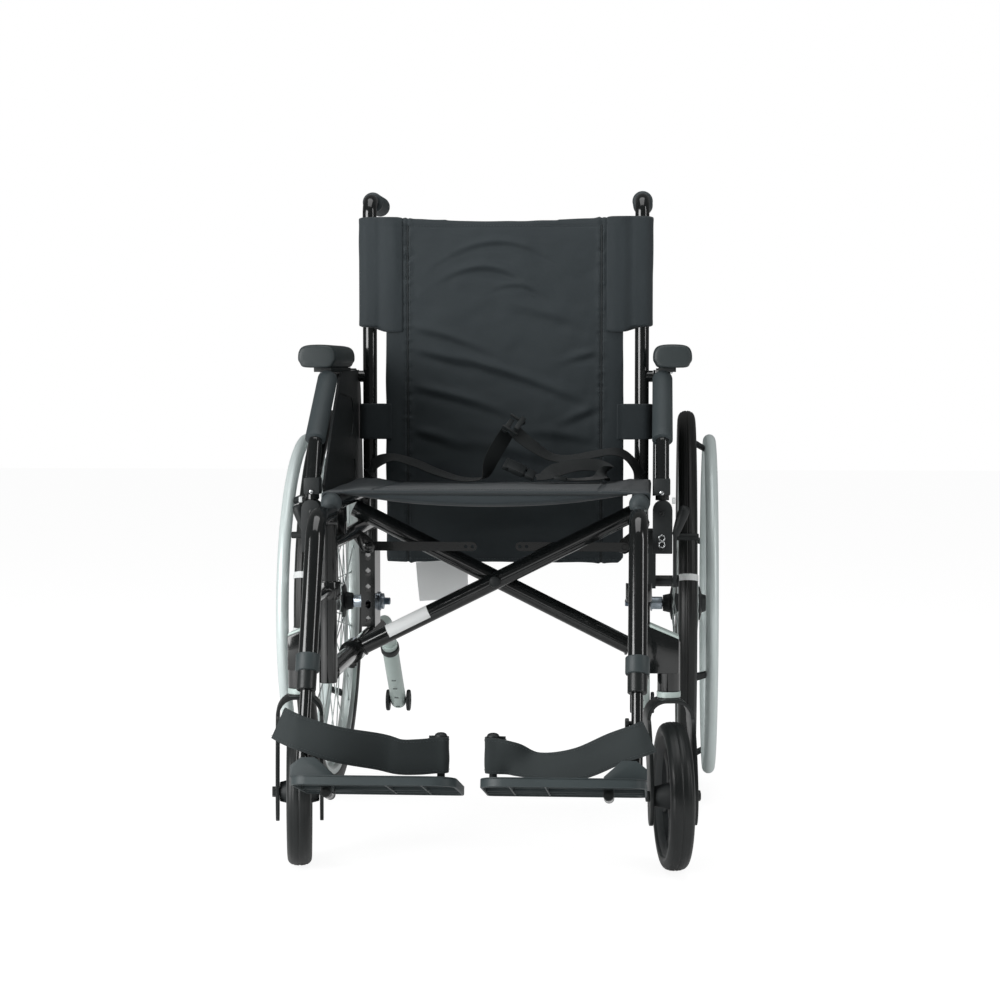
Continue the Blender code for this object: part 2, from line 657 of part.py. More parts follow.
def make_rear_wheel(name, side):
    centre = at(side * REAR_WHEEL_X, 0, REAR_AXLE_Z)
    carrier = f"rear_wheel_{name}"
    outwards = AXIS_X * side
    down = -AXIS_Z
    half = TYRE_WIDTH / 2
    seat = RIM_R + GAP
    tyre_side = REAR_WHEEL_R - seat
    tyre = [
        (seat, -half * 0.80), (seat + tyre_side * 0.40, -half), (seat + tyre_side * 0.78, -half * 0.80),
        (REAR_WHEEL_R, -half * 0.30), (REAR_WHEEL_R, half * 0.30), (seat + tyre_side * 0.78, half * 0.80),
        (seat + tyre_side * 0.40, half), (seat, half * 0.80),
    ]
    node(f"{name}_rear_tyre", TYRE_RUBBER, carrier, [ring(tyre, centre, outwards, WHEEL_SIDES, down)])
    rim_half = RIM_WIDTH / 2
    rim_inner = RIM_R - RIM_DEPTH
    rim = [(rim_inner, -rim_half * 0.7), (rim_inner, rim_half * 0.7), (RIM_R, rim_half), (RIM_R, -rim_half)]
    bore = AXLE_R + SLIDE_CLEARANCE
    left = HUB_INNER_X - REAR_WHEEL_X
    right = HUB_OUTER_X - REAR_WHEEL_X
    neck = 0.0125
    hub = [
        (bore, left), (neck, left), (HUB_FLANGE_R, left + 0.013), (HUB_FLANGE_R, left + 0.018),
        (HUB_R, left + 0.020), (HUB_R, right - 0.016), (HUB_FLANGE_R, right - 0.014),
        (HUB_FLANGE_R, right - 0.009), (neck, right), (bore, right),
    ]
    adds = [ring(rim, centre, outwards, WHEEL_SIDES, down), ring(hub, centre, outwards, PIN_SIDES)]
    for i in range(SPOKES):
        flange = left + 0.0155 if i % 2 else right - 0.0115
        lean = 0.9 if i % 4 < 2 else -0.9
        rim_angle = 2 * math.pi * (i + 0.5) / SPOKES
        hub_angle = rim_angle + lean
        inner = Vector((0, math.cos(hub_angle), math.sin(hub_angle))) * (HUB_FLANGE_R - 0.003)
        outer = Vector((0, math.cos(rim_angle), math.sin(rim_angle))) * (rim_inner + 0.002)
        adds.append(bar(centre + inner + outwards * flange, centre + outer, SPOKE_R, 3))
    node(f"{name}_rear_rim", SILVER_PAINT, carrier, adds)
    tube = [
        (HANDRIM_R + HANDRIM_TUBE_R * math.cos(math.pi * i / 3), HANDRIM_TUBE_R * math.sin(math.pi * i / 3))
        for i in range(6)
    ]
    hoop = at(side * HANDRIM_X, 0, REAR_AXLE_Z)
    adds = [ring(tube, hoop, outwards, WHEEL_SIDES, down)]
    for i in range(HANDRIM_STANDOFFS):
        angle = 2 * math.pi * (i + 0.5) / HANDRIM_STANDOFFS
        radial = Vector((0, math.cos(angle), math.sin(angle)))
        start = centre + outwards * (rim_half + GAP) + radial * (RIM_R - STANDOFF_R)
        adds.append(bar(start, hoop + radial * HANDRIM_R, STANDOFF_R, 6))
    node(f"{name}_handrim", SILVER_PAINT, carrier, adds)


def make_caster(name, side):
    cap_top = HOUSING_TOP_Z + 0.0150
    centre = at(side * CASTER_X, CASTER_F, 0)
    rim = circle(centre + AXIS_Z * (HOUSING_TOP_Z + GAP), AXIS_Z, HOUSING_R, BORE_SIDES)
    high = [
        Vector((p.x, p.y, cap_top - 0.008 * (1 + side * (p.x - centre.x) / HOUSING_R) / 2)) for p in rim
    ]
    node(f"{name}_caster_cap", GREY_PAINT, f"frame_{name}", [loft([rim, high])])
    stem = spun(
        [(HOUSING_R, FORK_CROWN_TOP_Z - 0.002), (HOUSING_R, HOUSING_BOTTOM_Z - GAP),
         (STEM_R, HOUSING_BOTTOM_Z - GAP + 0.0001), (STEM_R, HOUSING_TOP_Z - 0.004)],
        centre,
        AXIS_Z,
        PIN_SIDES,
    )
    trail = CASTER_TRAIL
    low = CASTER_R - FORK_LEG_DROP
    leg = [
        (-0.022, FORK_CROWN_TOP_Z), (0.022, FORK_CROWN_TOP_Z), (0.030, FORK_CROWN_BOTTOM_Z - 0.002),
        (trail + 0.003, CASTER_R + 0.060), (trail + 0.017, CASTER_R + 0.008),
        (trail + 0.016, CASTER_R - 0.020), (trail + 0.008, low), (trail - 0.008, low),
        (trail - 0.016, CASTER_R - 0.020), (trail - 0.021, CASTER_R + 0.020),
        (0.004, CASTER_R + 0.065), (-0.022, FORK_CROWN_BOTTOM_Z - 0.011),
    ]
    adds = [stem]
    across = Vector((math.cos(CASTER_TURN), math.sin(CASTER_TURN), 0))
    for sign in (-1, 1):
        outer = sign * FORK_HALF_WIDTH
        outline = [turned_from_caster(side, outer, ahead, z) for ahead, z in leg]
        adds.append(prism(outline, across * -sign * FORK_LEG_THICK))
    crown = [(-0.022, FORK_CROWN_TOP_Z), (0.022, FORK_CROWN_TOP_Z), (0.026, FORK_CROWN_BOTTOM_Z),
             (-0.022, FORK_CROWN_BOTTOM_Z)]
    inset = FORK_HALF_WIDTH - FORK_LEG_THICK / 2
    outline = [turned_from_caster(side, -inset, ahead, z) for ahead, z in crown]
    adds.append(prism(outline, across * 2 * inset))
    axle = turned_from_caster(side, 0, CASTER_TRAIL, CASTER_R)
    head = FORK_HALF_WIDTH + 0.005
    bolt_head = CASTER_BOLT_R * 1.5
    adds.append(
        spun(
            [(bolt_head, -head), (bolt_head, -FORK_HALF_WIDTH + 0.0001),
             (CASTER_BOLT_R, -FORK_HALF_WIDTH + 0.0002), (CASTER_BOLT_R, FORK_HALF_WIDTH - 0.0002),
             (bolt_head, FORK_HALF_WIDTH - 0.0001), (bolt_head, head)],
            axle,
            across,
        )
    )
    node(f"{name}_caster_fork", BLACK_PAINT, f"caster_fork_{name}", adds)
    half = CASTER_WIDTH / 2
    seat = CASTER_HUB_R + GAP
    carrier = f"caster_wheel_{name}"
    tyre = [
        (seat, -half * 0.9), (CASTER_R - 0.006, -half), (CASTER_R, -half * 0.55),
        (CASTER_R, half * 0.55), (CASTER_R - 0.006, half), (seat, half * 0.9),
    ]
    node(f"{name}_caster_tyre", TYRE_RUBBER, carrier, [ring(tyre, axle, across, CASTER_SIDES, -AXIS_Z)])
    web = 0.006
    dish = CASTER_HUB_R - 0.015
    boss = FORK_HALF_WIDTH - FORK_LEG_THICK - GAP * 2
    bore = CASTER_BOLT_R + PIN_CLEARANCE
    hub = [
        (bore, -boss), (0.013, -boss), (0.018, -web), (dish, -web), (CASTER_HUB_R, -half * 0.80),
        (CASTER_HUB_R, half * 0.80), (dish, web), (0.018, web), (0.013, boss), (bore, boss),
    ]
    cuts = []
    for i in range(5):
        angle = 2 * math.pi * i / 5
        radial = AXIS_Z * math.cos(angle) + across.cross(AXIS_Z) * math.sin(angle)
        tangent = across.cross(radial)
        outline = [axle - across * 0.02 + radial * r + tangent * t
                   for r, t in ((0.030, -0.009), (0.030, 0.009), (dish - 0.006, 0.021),
                                (dish - 0.006, -0.021))]
        cuts.append(prism(outline, across * 0.04))
    wheel = ring(hub, axle, across, CASTER_SIDES, -AXIS_Z)
    node(f"{name}_caster_hub", BLACK_PLASTIC, carrier, [wheel], cuts)


def make_hanger(name, side):
    x = side * FRAME_X
    end = hanger_point(side, HANGER_END_Z)
    path = rounded(
        [at(x, HANGER_REAR_F, HANGER_Z), at(x, HANGER_TOP_F, HANGER_Z), end],
        [HANGER_BEND_R],
        6,
    )
    post = at(x, POST_F, 0)
    pin = spun(
        [(HANGER_PIN_R, HANGER_PIN_BOTTOM_Z), (HANGER_PIN_R, POST_TOP_Z + GAP),
         (RAIL_R, POST_TOP_Z + GAP + 0.0001), (RAIL_R, HANGER_Z)],
        post,
        AXIS_Z,
    )
    # Saddle that bears on the front of the post, with its arm
    middle = (SADDLE_LOW_Z + SADDLE_HIGH_Z) / 2
    saddle_r = RAIL_R + SLIDE_CLEARANCE + 0.005
    saddle = bar(post + AXIS_Z * SADDLE_LOW_Z, post + AXIS_Z * SADDLE_HIGH_Z, saddle_r, BORE_SIDES)
    arm_end = hanger_point(side, middle) - AXIS_FORE * 0.004
    arm = bar(at(x, POST_F + saddle_r - 0.003, middle), arm_end, 0.008, 8)
    cuts = [
        bar(post + AXIS_Z * (SADDLE_LOW_Z - 0.01), post + AXIS_Z * (SADDLE_HIGH_Z + 0.01),
            RAIL_R + SLIDE_CLEARANCE, BORE_SIDES),
        box(1, x - 0.03, x + 0.03, POST_F - 0.04, POST_F - 0.001,
            SADDLE_LOW_Z - 0.01, SADDLE_HIGH_Z + 0.01),
        bar(end + HANGER_DOWN * 0.01, hanger_point(side, FOOT_TUBE_TOP_Z + 0.040),
            FOOT_TUBE_R + SLIDE_CLEARANCE, PIN_SIDES),
    ]
    node(f"{name}_hanger_tube", BLACK_PAINT, f"hanger_{name}", [pipe(path, HANGER_R), pin, saddle, arm],
         cuts)
    top = hanger_point(side, COLLAR_TOP_Z)
    down = 1 / math.cos(HANGER_LEAN)
    step = (COLLAR_TOP_Z - COLLAR_STEP_Z) * down
    low = (COLLAR_TOP_Z - COLLAR_LOW_Z) * down
    shelf = (COLLAR_TOP_Z - HANGER_END_Z) * down + GAP
    profile = [
        (HANGER_R + GAP, 0), (COLLAR_R, 0), (COLLAR_R, step), (HANGER_R, step + 0.002), (HANGER_R, low),
        (FOOT_TUBE_R + SLIDE_CLEARANCE, low), (FOOT_TUBE_R + SLIDE_CLEARANCE, shelf),
        (HANGER_R + GAP, shelf),
    ]
    collar = ring(profile, top, HANGER_DOWN, BORE_SIDES)
    node(f"{name}_hanger_collar", BLACK_PLASTIC, f"hanger_{name}", [collar])


def make_footrest(name, side):
    plate_top = FOOTPLATE_THICK + GAP * 2
    block_top = plate_top + 0.013
    landing_z = sole_point(0, KNUCKLE_REACH, block_top).z - 0.004
    tube = bar(hanger_point(side, FOOT_TUBE_TOP_Z), hanger_point(side, landing_z), FOOT_TUBE_R, 10)
    half = KNUCKLE_LENGTH / 2
    across = AXIS_X * side
    inner = FLIP_X - KNUCKLE_R
    outline = [
        sole_point(side * inner, KNUCKLE_REACH - half, lift) + across * out
        for out, lift in (
            (0, -FLIP_DROP), (0, block_top - 0.004), (0.006, block_top),
            (FRAME_X + 0.010 - inner, block_top),
            (FRAME_X + 0.013 - inner, block_top - 0.003), (FRAME_X + 0.013 - inner, plate_top),
            (2 * KNUCKLE_R, plate_top), (2 * KNUCKLE_R, -FLIP_DROP),
        )
    ]
    block = prism(outline, TOE * KNUCKLE_LENGTH)
    axis_start = flip_point(side) - TOE * half
    inset = TOE * 0.0004
    barrel = bar(axis_start + inset, axis_start + TOE * KNUCKLE_LENGTH - inset, KNUCKLE_R + 0.0002, 10)
    hole = bar(axis_start - TOE * 0.02, axis_start + TOE * (KNUCKLE_LENGTH + 0.02),
               FLIP_PIN_R + PIN_CLEARANCE, 10)
    node(f"{name}_footrest_tube", BLACK_PAINT, f"footrest_{name}", [tube, block, barrel], [hole])


def make_footplate(name, side):
    inner = FOOTPLATE_INNER_X[side]
    corners = [(inner, 0.0), (inner, FOOTPLATE_LENGTH), (FOOTPLATE_OUTER_X, FOOTPLATE_LENGTH),
               (FOOTPLATE_OUTER_X, 0.0)]
    radii = [0.008, FOOTPLATE_CORNER_R + 0.008, FOOTPLATE_CORNER_R, 0.012]
    outline = []
    for i, (corner, radius) in enumerate(zip(corners, radii)):
        before = Vector((*corners[i - 1], 0))
        after = Vector((*corners[(i + 1) % 4], 0))
        middle = Vector((*corner, 0))
        outline += rounded([before, middle, after], [radius], 3)[1:-1]
    slab = [sole_point(side * point.x, point.y, 0) for point in outline]
    adds = [prism(slab, SOLE_UP * FOOTPLATE_THICK)]
    # Ears on both sides of the fixed knuckle, joined by the hinge pin
    half = KNUCKLE_LENGTH / 2
    axis = flip_point(side)
    ear = 0.011
    for sign in (-1, 1):
        start = axis + TOE * sign * (half + GAP * 2)
        end = start + TOE * sign * ear
        adds.append(bar(start, end - TOE * sign * 0.0004, KNUCKLE_R + 0.0002, 10))
        low = FLIP_X - KNUCKLE_R
        first = KNUCKLE_REACH + sign * (half + GAP * 2)
        foot = [
            sole_point(side * px, first, lift)
            for px, lift in ((low, -FLIP_DROP), (low, 0.002), (low + 2 * KNUCKLE_R, 0.002),
                             (low + 2 * KNUCKLE_R, -FLIP_DROP))
        ]
        adds.append(prism(foot, TOE * sign * ear))
    adds.append(bar(axis - TOE * (half + 0.004), axis + TOE * (half + 0.004), FLIP_PIN_R, 8))
    # Upright heel post with its knob, on a low boss that stands square to the deck
    post_x = side * HEEL_POST_X[side]
    foot = sole_point(post_x, HEEL_POST_ALONG, FOOTPLATE_THICK - HEEL_POST_SUNK)
    height = HEEL_POST_TOP_Z - foot.z
    boss_along = HEEL_POST_ALONG + (HEEL_POST_SUNK + HEEL_BOSS_HEIGHT / 2) * math.tan(FOOT_TILT)
    adds.append(
        bar(
            sole_point(post_x, boss_along, FOOTPLATE_THICK / 2),
            sole_point(post_x, boss_along, FOOTPLATE_THICK + HEEL_BOSS_HEIGHT),
            HEEL_POST_R + HEEL_BOSS_STEP,
            10,
        )
    )
    adds.append(
        spun(
            [(HEEL_POST_R, 0), (HEEL_POST_R, height - 0.0066), (HEEL_KNOB_R, height - 0.0065),
             (HEEL_KNOB_R, height - 0.002), (HEEL_KNOB_R - 0.003, height)],
            foot,
            AXIS_Z,
            10,
        )
    )
    notch = KNUCKLE_LENGTH / 2 + 0.0015
    reach = FLIP_X - 0.038
    far = FLIP_X + KNUCKLE_R + 0.002
    outline = [sole_point(side * px, along, -0.0005) for px, along in (
        (reach, KNUCKLE_REACH - notch), (reach, KNUCKLE_REACH + notch),
        (far, KNUCKLE_REACH + notch), (far, KNUCKLE_REACH - notch))]
    cut = prism(outline, SOLE_UP * (FOOTPLATE_THICK + 0.001))
    # The pin crosses the notch, so the slab is cut before the pin is joined to it
    plate = bpy.data.objects.new("shape", joined([adds[0]], [cut]))
    scene.collection.objects.link(plate)
    node(f"{name}_footplate", BLACK_PLASTIC, f"footplate_{name}", [plate, *adds[1:]])


def make_heel_strap(name, side):
    """Strap from the heel post, bowed back behind the heel, to the front of the footrest tube."""
    post = HEEL_POST_X[side]
    post_f = FOOTPLATE_REAR_F + HEEL_POST_ALONG * math.cos(FOOT_TILT)
    inner = post + HEEL_POST_R + STRAP_THICK / 2 + GAP
    stand_off = (FOOT_TUBE_R + STRAP_THICK * 0.75 + GAP * 2) / math.cos(HANGER_LEAN)

    def tube_front(z, back):
        return HANGER_TOP_F + (HANGER_Z - z) * math.tan(HANGER_LEAN) + stand_off - back

    low = FOOTPLATE_REAR_Z
    route = [
        (inner, post_f - 0.004, low + 0.0505, 1.0, 0),
        (inner + 0.004, post_f + 0.002, low + 0.0505, 1.0, 0),
        (inner + 0.040, post_f + 0.006, low + 0.0455, 0.96, 0),
        (inner + 0.085, post_f + 0.016, low + 0.0460, 0.92, 0.2),
        (FRAME_X - 0.048, tube_front(low + 0.060, 0.022), low + 0.0600, 0.88, 0.6),
        (FRAME_X - 0.023, tube_front(low + 0.076, 0.004), low + 0.0760, 0.86, 1),
        (FRAME_X, tube_front(low + 0.0885, 0), low + 0.0885, 0.90, 1),
        (FRAME_X + 0.023, tube_front(low + 0.096, 0.003), low + 0.0960, 0.98, 1),
        (FRAME_X + 0.039, tube_front(low + 0.098, 0.016), low + 0.0980, 1.0, 1),
    ]
    rings = []
    for i, (x, fore, z, share, lean) in enumerate(route):
        centre = at(side * x, fore, z)
        ahead = route[min(i + 1, len(route) - 1)]
        behind = route[max(i - 1, 0)]
        along = (at(side * ahead[0], ahead[1], 0) - at(side * behind[0], behind[1], 0)).normalized()
        upright = (AXIS_Z * (1 - lean) - HANGER_DOWN * lean).normalized()
        out = along.cross(upright).normalized() * STRAP_THICK / 2
        up = upright * STRAP_HEIGHT * share / 2
        belly = out * (0.5 if 1 < i < len(route) - 2 else 0.0)
        rings.append([centre - up - out, centre - up + out, centre + out + belly, centre + up + out,
                      centre + up - out, centre - out + belly])
    node(f"{name}_heel_strap", NYLON, f"footplate_{name}", [loft(rings)], smooth=60)


def make_armrest(name, side):
    x = side * ARM_X
    points = [
        at(x, ARM_FOOT_F, ARM_FOOT_Z), at(x, ARM_FOOT_F, ARM_FOOT_Z + 0.022),
        at(x, ARM_BEND_F, ARM_BEND_Z), at(x, ARM_SLOPE_F, ARM_TOP_Z),
        at(x, ARM_PIVOT_F - ARM_BOSS_R + 0.001, ARM_TOP_Z),
    ]
    path = rounded(points, [0.03, 0.03, 0.03], 2)
    outwards = AXIS_X * side
    boss_in = PANEL_INNER_X + PANEL_THICK + 0.0004 - ARM_X
    pivot = at(x, ARM_PIVOT_F, ARM_PIVOT_Z)
    boss = bar(pivot + outwards * boss_in, pivot + outwards * (ARM_R + 0.0002), ARM_BOSS_R)
    hole = bar(pivot - outwards * 0.03, pivot + outwards * 0.03, ARM_PIN_R + PIN_CLEARANCE * 2)
    node(f"{name}_arm_frame", BLACK_PAINT, f"armrest_{name}", [pipe(path, ARM_R, 10), boss], [hole])
    low = points[2]
    high = points[3]
    along = (high - low).normalized()
    start = low + along * 0.014
    length = (high - low).length * 0.62
    sleeve = [(ARM_R + 2 * GAP, 0), (SLEEVE_R - 0.002, 0), (SLEEVE_R, 0.004), (SLEEVE_R, length - 0.004),
              (SLEEVE_R - 0.002, length), (ARM_R + 2 * GAP, length)]
    node(f"{name}_arm_sleeve", SOFT_RUBBER, f"armrest_{name}", [ring(sleeve, start, along, PIN_SIDES)])
    # Padded top, drawn in at the bottom and crowned
    rings = []
    count = 9
    bottom = ARM_TOP_Z + ARM_R + GAP
    middle = (PAD_INNER_X + PAD_OUTER_X) / 2
    half = (PAD_OUTER_X - PAD_INNER_X) / 2
    for i in range(count):
        share = i / (count - 1)
        end = abs(2 * share - 1)
        pull = 1 - 0.28 * max(0, end - 0.75) / 0.25
        fore = PAD_FRONT_F + (PAD_REAR_F - PAD_FRONT_F) * share
        height = (PAD_TOP_Z - bottom) * (1 - 0.30 * max(0, end - 0.75) / 0.25)
        section = [(-0.78, 0.0), (0.78, 0.0), (0.80, 0.10), (1.0, 0.22), (1.0, 0.62), (0.86, 0.88),
                   (0.45, 0.985), (0.0, 1.0), (-0.45, 0.985), (-0.86, 0.88), (-1.0, 0.62), (-1.0, 0.22),
                   (-0.80, 0.10)]
        wide = half * pull
        rings.append([at(side * (middle + wide * px), fore, bottom + height * pz) for px, pz in section])
    node(f"{name}_arm_pad", SOFT_RUBBER, f"armrest_{name}", [loft(rings)])
    # The panel follows the arm tube: its slope, then its top
    bend = ARM_BEND_F
    knee_z = ARM_BEND_Z + (ARM_TOP_Z - ARM_BEND_Z) * 0.28
    outline = [
        (-0.005, PANEL_BOTTOM_Z), (bend - 0.002, PANEL_BOTTOM_Z), (bend + 0.006, PANEL_BOTTOM_Z + 0.014),
        (bend - 0.045, ARM_BEND_Z - 0.018), (bend - 0.087, knee_z), (ARM_SLOPE_F - 0.034, ARM_TOP_Z),
        (ARM_SLOPE_F - 0.056, ARM_TOP_Z + 0.007), (0.039, ARM_TOP_Z + 0.010),
        (0.020, ARM_TOP_Z - 0.019), (0.005, PANEL_BOTTOM_Z + 0.080),
    ]
    panel = side_prism(side, PANEL_INNER_X, PANEL_INNER_X + PANEL_THICK, outline)
    recesses = (
        (0.201, ARM_TOP_Z - 0.058, 0.064, 0.030, 0.06),
        (0.154, PANEL_BOTTOM_Z + 0.025, 0.054, 0.015, 0.03),
    )
    cuts = [bar(at(side * 0.22, ARM_PIVOT_F, ARM_PIVOT_Z), at(side * 0.25, ARM_PIVOT_F, ARM_PIVOT_Z),
                ARM_PIN_R + PIN_CLEARANCE * 2)]
    for fore, z, half_length, radius, tilt in recesses:
        along = Vector((0, -math.cos(tilt), math.sin(tilt)))
        across = AXIS_X.cross(along)
        centre = at(side * (PANEL_INNER_X - 0.002), fore, z)
        cuts.append(prism(stadium(centre, along, across, half_length, radius, 5),
                          outwards * (PANEL_RECESS + 0.002)))
    node(f"{name}_side_panel", BLACK_PLASTIC, f"armrest_{name}", [panel], cuts)
    # Socket on the upper rail, open above, that the armrest drops into
    near = FRAME_X + UPPER_RAIL_R + GAP
    clear = FRAME_X + RAIL_R + SEAT_FLAP_THICK + 3 * GAP
    half = 0.014
    rail = UPPER_RAIL_Z
    top = rail + SOCKET_RISE
    block = [
        (near, rail - 0.017), (ARM_X + 0.0055, rail - 0.017), (ARM_X + 0.0085, rail + 0.005),
        (SOCKET_OUTER_X, rail + 0.027), (SOCKET_OUTER_X, top), (clear, top), (clear, rail + 0.043),
        (near, rail + 0.029),
    ]
    socket = front_prism(ARM_FOOT_F - half, ARM_FOOT_F + half, [(side * px, pz) for px, pz in block])
    slot = box(side, ARM_X - ARM_R - GAP, ARM_X + ARM_R + GAP, ARM_FOOT_F - half - 0.01,
               ARM_FOOT_F + half + 0.01, ARM_FOOT_Z - GAP, top + 0.015)
    node(f"{name}_arm_socket", BLACK_PLASTIC, f"frame_{name}", [socket], [slot])


def make_brake(name, side):
    near = FRAME_X + UPPER_RAIL_R + GAP
    pivot_f = BRAKE_PIVOT_F
    pivot_z = BRAKE_PIVOT_Z
    outline = [(pivot_f - 0.012, pivot_z - 0.010), (pivot_f + 0.012, pivot_z - 0.010),
               (pivot_f + 0.034, UPPER_RAIL_Z - 0.010), (pivot_f + 0.034, UPPER_RAIL_Z + 0.012),
               (pivot_f - 0.006, UPPER_RAIL_Z + 0.012)]
    plate = side_prism(side, near, near + 0.0115, outline)
    pivot = at(side * near, BRAKE_PIVOT_F, BRAKE_PIVOT_Z)
    outwards = AXIS_X * side
    seat = BRAKE_PLATE_X - near - GAP
    end = seat + BRAKE_PLATE_THICK + GAP * 2
    pin = spun([(0.008, 0.008), (0.008, seat), (BRAKE_PIN_R, seat + 0.0001), (BRAKE_PIN_R, end),
                (0.007, end + 0.0001), (0.007, end + 0.003)], pivot, outwards)
    node(f"{name}_brake_bracket", BLACK_PAINT, f"frame_{name}", [plate, pin])
    hand_f = BRAKE_HANDLE_F
    hand_z = BRAKE_HANDLE_Z
    lever = [(SHOE_F - 0.007, SHOE_Z - 0.006), (SHOE_F + 0.007, SHOE_Z - 0.010),
             (pivot_f - 0.010, pivot_z - 0.007), (pivot_f + 0.006, pivot_z - 0.010),
             (pivot_f + 0.013, pivot_z + 0.004), (hand_f + 0.005, hand_z), (hand_f + 0.007, hand_z + 0.012),
             (hand_f - 0.007, hand_z + 0.012), (pivot_f + 0.003, pivot_z + 0.026),
             (SHOE_F + 0.006, SHOE_Z + 0.007), (SHOE_F - 0.007, SHOE_Z + 0.006)]
    arm = side_prism(side, BRAKE_PLATE_X, BRAKE_PLATE_X + BRAKE_PLATE_THICK, lever)
    shoe = bar(at(side * (BRAKE_PLATE_X + 0.001), SHOE_F, SHOE_Z),
               at(side * SHOE_END_X, SHOE_F, SHOE_Z), SHOE_R, 10)
    handle = spun([(0.0045, 0), (0.006, 0.010), (0.0078, 0.028), (0.0078, 0.038), (0.005, 0.044)],
                  at(side * (BRAKE_PLATE_X + 0.0025), hand_f, hand_z),
                  Vector((side * 0.36, 0, 1)), 10)
    hole = bar(pivot - outwards * 0.01, pivot + outwards * 0.06, BRAKE_PIN_R + PIN_CLEARANCE * 2)
    node(f"{name}_brake_lever", BLACK_PLASTIC, f"brake_{name}", [arm, shoe, handle], [hole])


def make_anti_tip(name, side):
    x = side * FRAME_X
    path = rounded(
        [at(x, LOWER_RAIL_REAR_F + ANTI_TIP_INSIDE - 0.006, LOWER_RAIL_Z),
         at(x, ANTI_TIP_BEND_F, LOWER_RAIL_Z), anti_tip_point(side, ANTI_TIP_LEG_START + 0.060)],
        [0.060],
    )
    node(f"{name}_anti_tip_tube", GREY_PAINT, f"frame_{name}", [pipe(path, ANTI_TIP_R)])
    top = anti_tip_point(side, ANTI_TIP_LEG_START)
    axle = anti_tip_point(side, ANTI_TIP_LENGTH)
    length = ANTI_TIP_LENGTH - ANTI_TIP_LEG_START
    leg = spun(
        [(ANTI_TIP_LEG_R + 0.002, 0), (ANTI_TIP_LEG_R + 0.002, 0.014), (ANTI_TIP_LEG_R, 0.016),
         (ANTI_TIP_LEG_R, length + 0.003), (ANTI_TIP_LEG_R - 0.0035, length + 0.009),
         (ANTI_TIP_LEG_R - 0.009, length + 0.012)],
        top,
        LEG_DOWN,
        BORE_SIDES,
    )
    bore = bar(top - LEG_DOWN * 0.01, top + LEG_DOWN * 0.090, ANTI_TIP_R + SLIDE_CLEARANCE, BORE_SIDES)
    hole = bar(axle - AXIS_X * 0.03, axle + AXIS_X * 0.03, ANTI_TIP_PIN_R + PIN_CLEARANCE * 2, 8)
    node(f"{name}_anti_tip_leg", GREY_PAINT, f"anti_tip_{name}", [leg], [bore, hole])
    inner = ANTI_TIP_LEG_R + GAP * 2
    outer = inner + ANTI_TIP_WHEEL_THICK
    profile = [
        (ANTI_TIP_WHEEL_R - 0.0015, -outer), (ANTI_TIP_WHEEL_R, -outer + 0.0015), (ANTI_TIP_WHEEL_R, -inner),
        (ANTI_TIP_PIN_R, -inner + 0.0001), (ANTI_TIP_PIN_R, inner - 0.0001),
        (ANTI_TIP_WHEEL_R, inner),
        (ANTI_TIP_WHEEL_R, outer - 0.0015), (ANTI_TIP_WHEEL_R - 0.0015, outer),
    ]
    wheels = spun(profile, axle, AXIS_X, BORE_SIDES)
    node(f"{name}_anti_tip_wheels", BLACK_PLASTIC, f"anti_tip_wheels_{name}", [wheels])


def make_cross_member(name, side):
    """Cross tube pinned round this side's lower rail, with the seat rail of the other side."""
    layer = FOLD_F + (CROSS_LAYER if side < 0 else -CROSS_LAYER)
    low = at(side * FRAME_X, layer, LOWER_RAIL_Z)
    high = at(-side * FRAME_X, layer, CROSS_UPPER_Z)
    along = (high - low).normalized()
    clamp_half = RAIL_CLAMP_LENGTH / 2
    rail_start = at(-side * FRAME_X, SEAT_RAIL_REAR_F, SEAT_RAIL_Z)
    rail_length = SEAT_RAIL_FRONT_F - SEAT_RAIL_REAR_F
    cap = [(RAIL_R, rail_length - 0.002), (RAIL_CAP_R, rail_length), (RAIL_CAP_R, rail_length + 0.009),
           (RAIL_CAP_R - 0.002, rail_length + 0.014), (RAIL_CAP_R - 0.0055, rail_length + 0.018),
           (0.0035, rail_length + 0.0205)]
    rail = spun([(RAIL_R, 0), *cap], rail_start, AXIS_FORE)
    clamp = bar(low - AXIS_FORE * clamp_half, low + AXIS_FORE * clamp_half, RAIL_CLAMP_R, BORE_SIDES)
    adds = [bar(low + along * (RAIL_R + 0.003), high, CROSS_TUBE_R), rail, clamp]
    # Bolts of the clamp, heads down
    for shift in (-0.011, 0.011):
        foot = low - AXIS_FORE * shift - AXIS_Z * (RAIL_CLAMP_R - 0.002)
        adds.append(bar(foot, foot - AXIS_Z * 0.006, 0.0048, 6))
    cuts = [
        bar(low - AXIS_FORE * 0.04, low + AXIS_FORE * 0.04, RAIL_R + PIN_CLEARANCE, BORE_SIDES),
        bar(at(0, layer - 0.03, CROSS_CENTRE_Z), at(0, layer + 0.03, CROSS_CENTRE_Z),
            BOLT_R + PIN_CLEARANCE * 2),
    ]
    node(f"{name}_cross_member", BLACK_PAINT, f"cross_{name}", adds, cuts)


